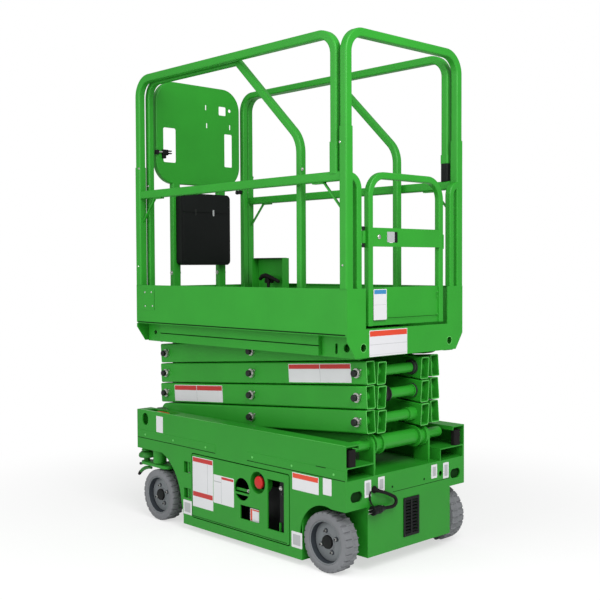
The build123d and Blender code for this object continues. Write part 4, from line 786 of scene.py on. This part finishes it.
def add_tube_collars():
    """Collars, thrust washers and a hose clamp on the cross tubes at the rear."""
    # the green washer on arm pair 2 is a painted highlight
    # columns: arm pair, y0, y1, radius, look
    collars = ((4, -111, -104, 32, "dark_metal"), (4, -104, -101, 27, "steel"), (4, -101, -92, 30, "dark_metal"),
               (3, -111, -104, 31, "dark_metal"), (3, -104, -101, 26, "steel"), (3, 62, 84, 30, "black_rubber"),
               (3, 84, 88, 33, "dark_metal"), (3, 58, 62, 33, "dark_metal"), (2, 92, 95, 26, "green_edge"))
    tube_radius = 22.3
    for k in (2, 3, 4):
        form = Form()
        low = level_of(k)
        for arms, y0, y1, radius, look in collars:
            if arms == k:
                ring = lambda a, b, h=0: (a, h, b)
                form.turned(ring, (REAR_PIVOT, low), [(tube_radius, y0), (radius, y0), (radius, y1), (tube_radius, y1)],
                            look, 32, hollow=True)
        form.piece(f"tube_collars_{k}", f"inner_{k}")


def arm_sign(form, arm_k, x0, x1, split, header, look):
    """A two-panel plate on the outer face of an outer arm, which rises rearward."""
    for _, side in SIDES:
        face = sloped(side_face(side, ARM_Y), FRONT_PIVOT, level_of(arm_k), -LEAN)
        a0, a1 = (x0 - FRONT_PIVOT) / math.cos(LEAN), (x1 - FRONT_PIVOT) / math.cos(LEAN)
        middle = (split - FRONT_PIVOT) / math.cos(LEAN)
        half = 40
        bands = [(a0 + 3, middle - 2, half - 3 - header, half - 3, look),
                 (middle + 2, a1 - 3, half - 3 - header, half - 3, look),
                 (middle - 0.8, middle + 0.8, 3 - half, half - 3, "label_grey")]
        sign(form, face, (a0, a1, -half, half), bands)


def add_arm_signs():
    form = Form()
    arm_sign(form, 2, 220, 599, 418, 22, "label_red")
    form.piece("arm_signs_lower", "outer_2")
    form = Form()
    arm_sign(form, 3, -616, -240, -435, 19, "label_red")
    form.piece("arm_signs_upper", "outer_3")


# ---------------------------------------------------------------- platform and gate

def studs(form, x0, x1, y0, y1, z, look, pitch=30):
    """Raised diamond studs of an anti-slip sheet."""
    row = 0
    x = x0 + pitch / 2
    while x < x1 - 8:
        y = y0 + pitch / 2 + (pitch / 2 if row % 2 else 0)
        while y < y1 - 8:
            long, short = (9, 2.6) if row % 2 else (2.6, 9)
            base = [(x + long, y, z), (x, y + short, z), (x - long, y, z), (x, y - short, z)]
            cap = [(x + long * 0.7, y, z + 1.3), (x, y + short * 0.5, z + 1.3), (x - long * 0.7, y, z + 1.3),
                   (x, y - short * 0.5, z + 1.3)]
            form.skin([base, cap], look)
            y += pitch
        x += pitch / 2
        row += 1


def add_platform():
    floor = Form()
    studs(floor, -700, -380, -340, 340, FLOOR_TOP, "deck_green")
    floor.piece("floor_studs", "platform")
    deck_low, deck_high = low_high("extension_deck")
    deck = Form()
    studs(deck, deck_low[0] + 12, deck_high[0] - 14, deck_low[1] + 14, deck_high[1] - 14, DECK_TOP, "deck_green")
    deck.piece("deck_studs", "extension")

    form = Form()
    plate = rear_face(PLATE_REAR)
    sign(form, plate, (8, 242, 871, 978), ((11, 239, 953, 975, "label_orange"),
                                           (11, 239, 919, 920.5, "label_grey"), (11, 239, 878, 879, "label_grey")))
    for y, z in ((276, 910), (-276, 910)):
        # lighter rings round the two holes: painted highlight
        form.turned(plate, (y, z), [(18.5, -0.5), (18.5, 0.6), (16.2, 0.6), (16.2, -0.5)], "green_edge", 32,
                    hollow=True)
    for _, side in SIDES:
        toe = side_face(side, TOE_Y)
        for x, z in ((653, 1112), (598, 1113), (651, 1044), (589, 1046)):
            form.rivet(toe, (x, z), 5.5, "steel")
        form.slab(toe, (574, 704, 1024, 1128), -0.5, 1.0, "green", radius=3, bevel=0.6)
        # dark lines beside the toe plate, along the toe board's foot and at the front of the beam: painted shade in the
        # gaps
        form.slab(toe, (572.5, 574.5, 1026, 1126), 0, 0.6, "seam", radius=0.5, bevel=0.1)
        form.slab(toe, (-715, 715, FLOOR_TOP - 0.5, FLOOR_TOP + 5), 0, 0.6, "seam", radius=0.5, bevel=0.1)
        form.slab(side_face(side, 306), (594, 612, 866, 954), 0, 3, "seam", radius=1, bevel=0.2)
        # shadow gap along the step of the side beam
        form.slab(side_face(side, 318), (-517, 592, 908.3, 912.7), 0, 1.5, "seam", radius=0.5, bevel=0.2)
    form.piece("platform_fittings", "platform")


def add_gate():
    form = Form()
    face = rear_face(GATE_REAR)
    form.slab(face, (84, 129, 1333, 1376), -1, 1.0, "label_grey", radius=2)
    form.slab(face, (65, 83.5, 1333, 1376), -1, 0.6, "black_plastic", radius=2)
    form.turned(face, (178, 1354), [(9.5, 0), (9.5, 1.2), (8.8, 2), (6.5, 3.4), (2, 3.8)], "steel", 24)
    form.slab(face, (-239, -233, 1309, 1371), -2, 2.2, "green", radius=2)
    sign(form, face, (133, 213, 1018, 1143), ((137, 209, 1123, 1140, "label_blue"),
                                              (137, 209, 1079, 1080, "label_grey")))
    # dark line across the gate: painted shade in the gap
    form.slab(face, (-202, 130, 1023, 1025), 0, 0.5, "seam", radius=0.5, bevel=0.1)
    for y, z in ((-197, 1124), (-199, 1106), (-197, 1030)):
        form.rivet(face, (y, z), 4, "green")
    form.piece("gate_fittings", "gate")


def add_extension():
    low, high = low_high("manual_box")
    form = Form()
    middle_y = (low[1] + high[1]) / 2
    inner = rear_face(low[0])
    # lid with a recessed rim and two clips on the document box
    form.slab(inner, (low[1] + 6, high[1] - 6, high[2] - 96, high[2] - 4), 0, 3.5, "black_plastic", radius=10,
              bevel=2)
    form.slab(inner, (low[1] + 12, high[1] - 12, low[2] + 10, high[2] - 104), 0, 2.0, "black_plastic", radius=10,
              bevel=1.5)
    for y, look in ((70, "black_metal"), (-45, "label_grey")):
        form.slab(inner, (middle_y + y - 5, middle_y + y + 5, high[2] - 112, high[2] - 80), 3, 4.2, look,
                  radius=3, bevel=0.3)
    form.piece("document_box_fittings", "extension", "black_plastic")

    low, high = low_high("control_tray")
    tray = Form()
    tray.slab(top_face(high[2]), (low[0] + 8, high[0] - 8, low[1] + 4, high[1] - 4), -1, 1.5, "black_rubber",
              radius=6, bevel=1)
    tray.piece("control_tray_mat", "extension", "black_rubber")


def add_rail_fittings():
    """Sleeve bolts, leg bolts, guard latch and the hook beside the control tray."""
    loop_high = low_high("side_loops")[1]
    form = Form()
    for _, side in SIDES:
        post = side_face(side, loop_high[1])
        for x, z in ((692, 1722), (-692, 1722), (704, 1240), (-704, 1240)):
            form.bolt(post, (x, z), 5, "steel")
    form.piece("post_fittings", "platform")

    form = Form()
    rail_high = low_high("extension_rails")[1][1]
    for _, side in SIDES:
        post = side_face(side, rail_high)
        for x, z in ((-426, 1639), (684, 1637)):
            form.bolt(post, (x, z), 4.5, "steel")
        for leg_y in (124, 172):
            outward = 1 if leg_y > 150 else -1
            leg = lambda a, b, h=0: (a, side * (leg_y + outward * h), b)
            form.bolt(leg, (700, 1206), 7, "steel")
    for x, z in ((714, 1637), (690, 1637)):
        form.turned(side_face(-1, 286), (x, z), [(11, -12), (11, -2), (8, 0)], "black_plastic", 20)
    latch = rear_face(684)
    form.slab(latch, (262, 278, 1800, 1822), -6, 14, "black_plastic", radius=4, bevel=2)
    form.tube([(680, 262, 1812), (678, 240, 1813)], 6, "steel", 14)
    form.slab(latch, (206, 240, 1798, 1826), -8, 16, "black_plastic", radius=4, bevel=3)
    form.slab(latch, (182, 206, 1806, 1812), -3, 10, "black_plastic", radius=2, bevel=1)
    form.slab(latch, (182, 206, 1818, 1824), -3, 10, "black_plastic", radius=2, bevel=1)
    form.slab(latch, (218, 238, 1782, 1800), -6, 12, "black_plastic", radius=3, bevel=2)
    form.piece("guard_fittings", "extension")

    hook = Form()
    tray_y = low_high("control_tray")[1][1] + 16
    hook.tube([(468, tray_y, 1170), (452, tray_y, 1184), (425, tray_y, 1189), (385, tray_y, 1180),
               (350, tray_y, 1168), (322, tray_y, 1158)], [9, 12, 13, 11, 9, 8], "black_rubber", 16)
    hook.tube([(412, tray_y, 1184), (400, tray_y, 1160), (404, tray_y, 1128)], [10, 9, 8], "black_rubber", 16)
    hook.slab(side_face(-1, -tray_y), (380, 440, 1150, 1175), 6, 17, "black_plastic", radius=5, bevel=1)
    hook.piece("tray_hook", "extension", "black_rubber")


add_cord()
for wheel_name, wheel_side in WHEELS:
    add_wheel(wheel_name, wheel_side)
for side_name, side in SIDES:
    add_chassis_side(side_name, side)
    add_door(side_name, side)
add_stop_button()
add_chassis_rear()
add_pins()
add_arm_signs()
add_end_highlight_rims()
add_tube_collars()
add_platform()
add_gate()
add_extension()
add_rail_fittings()
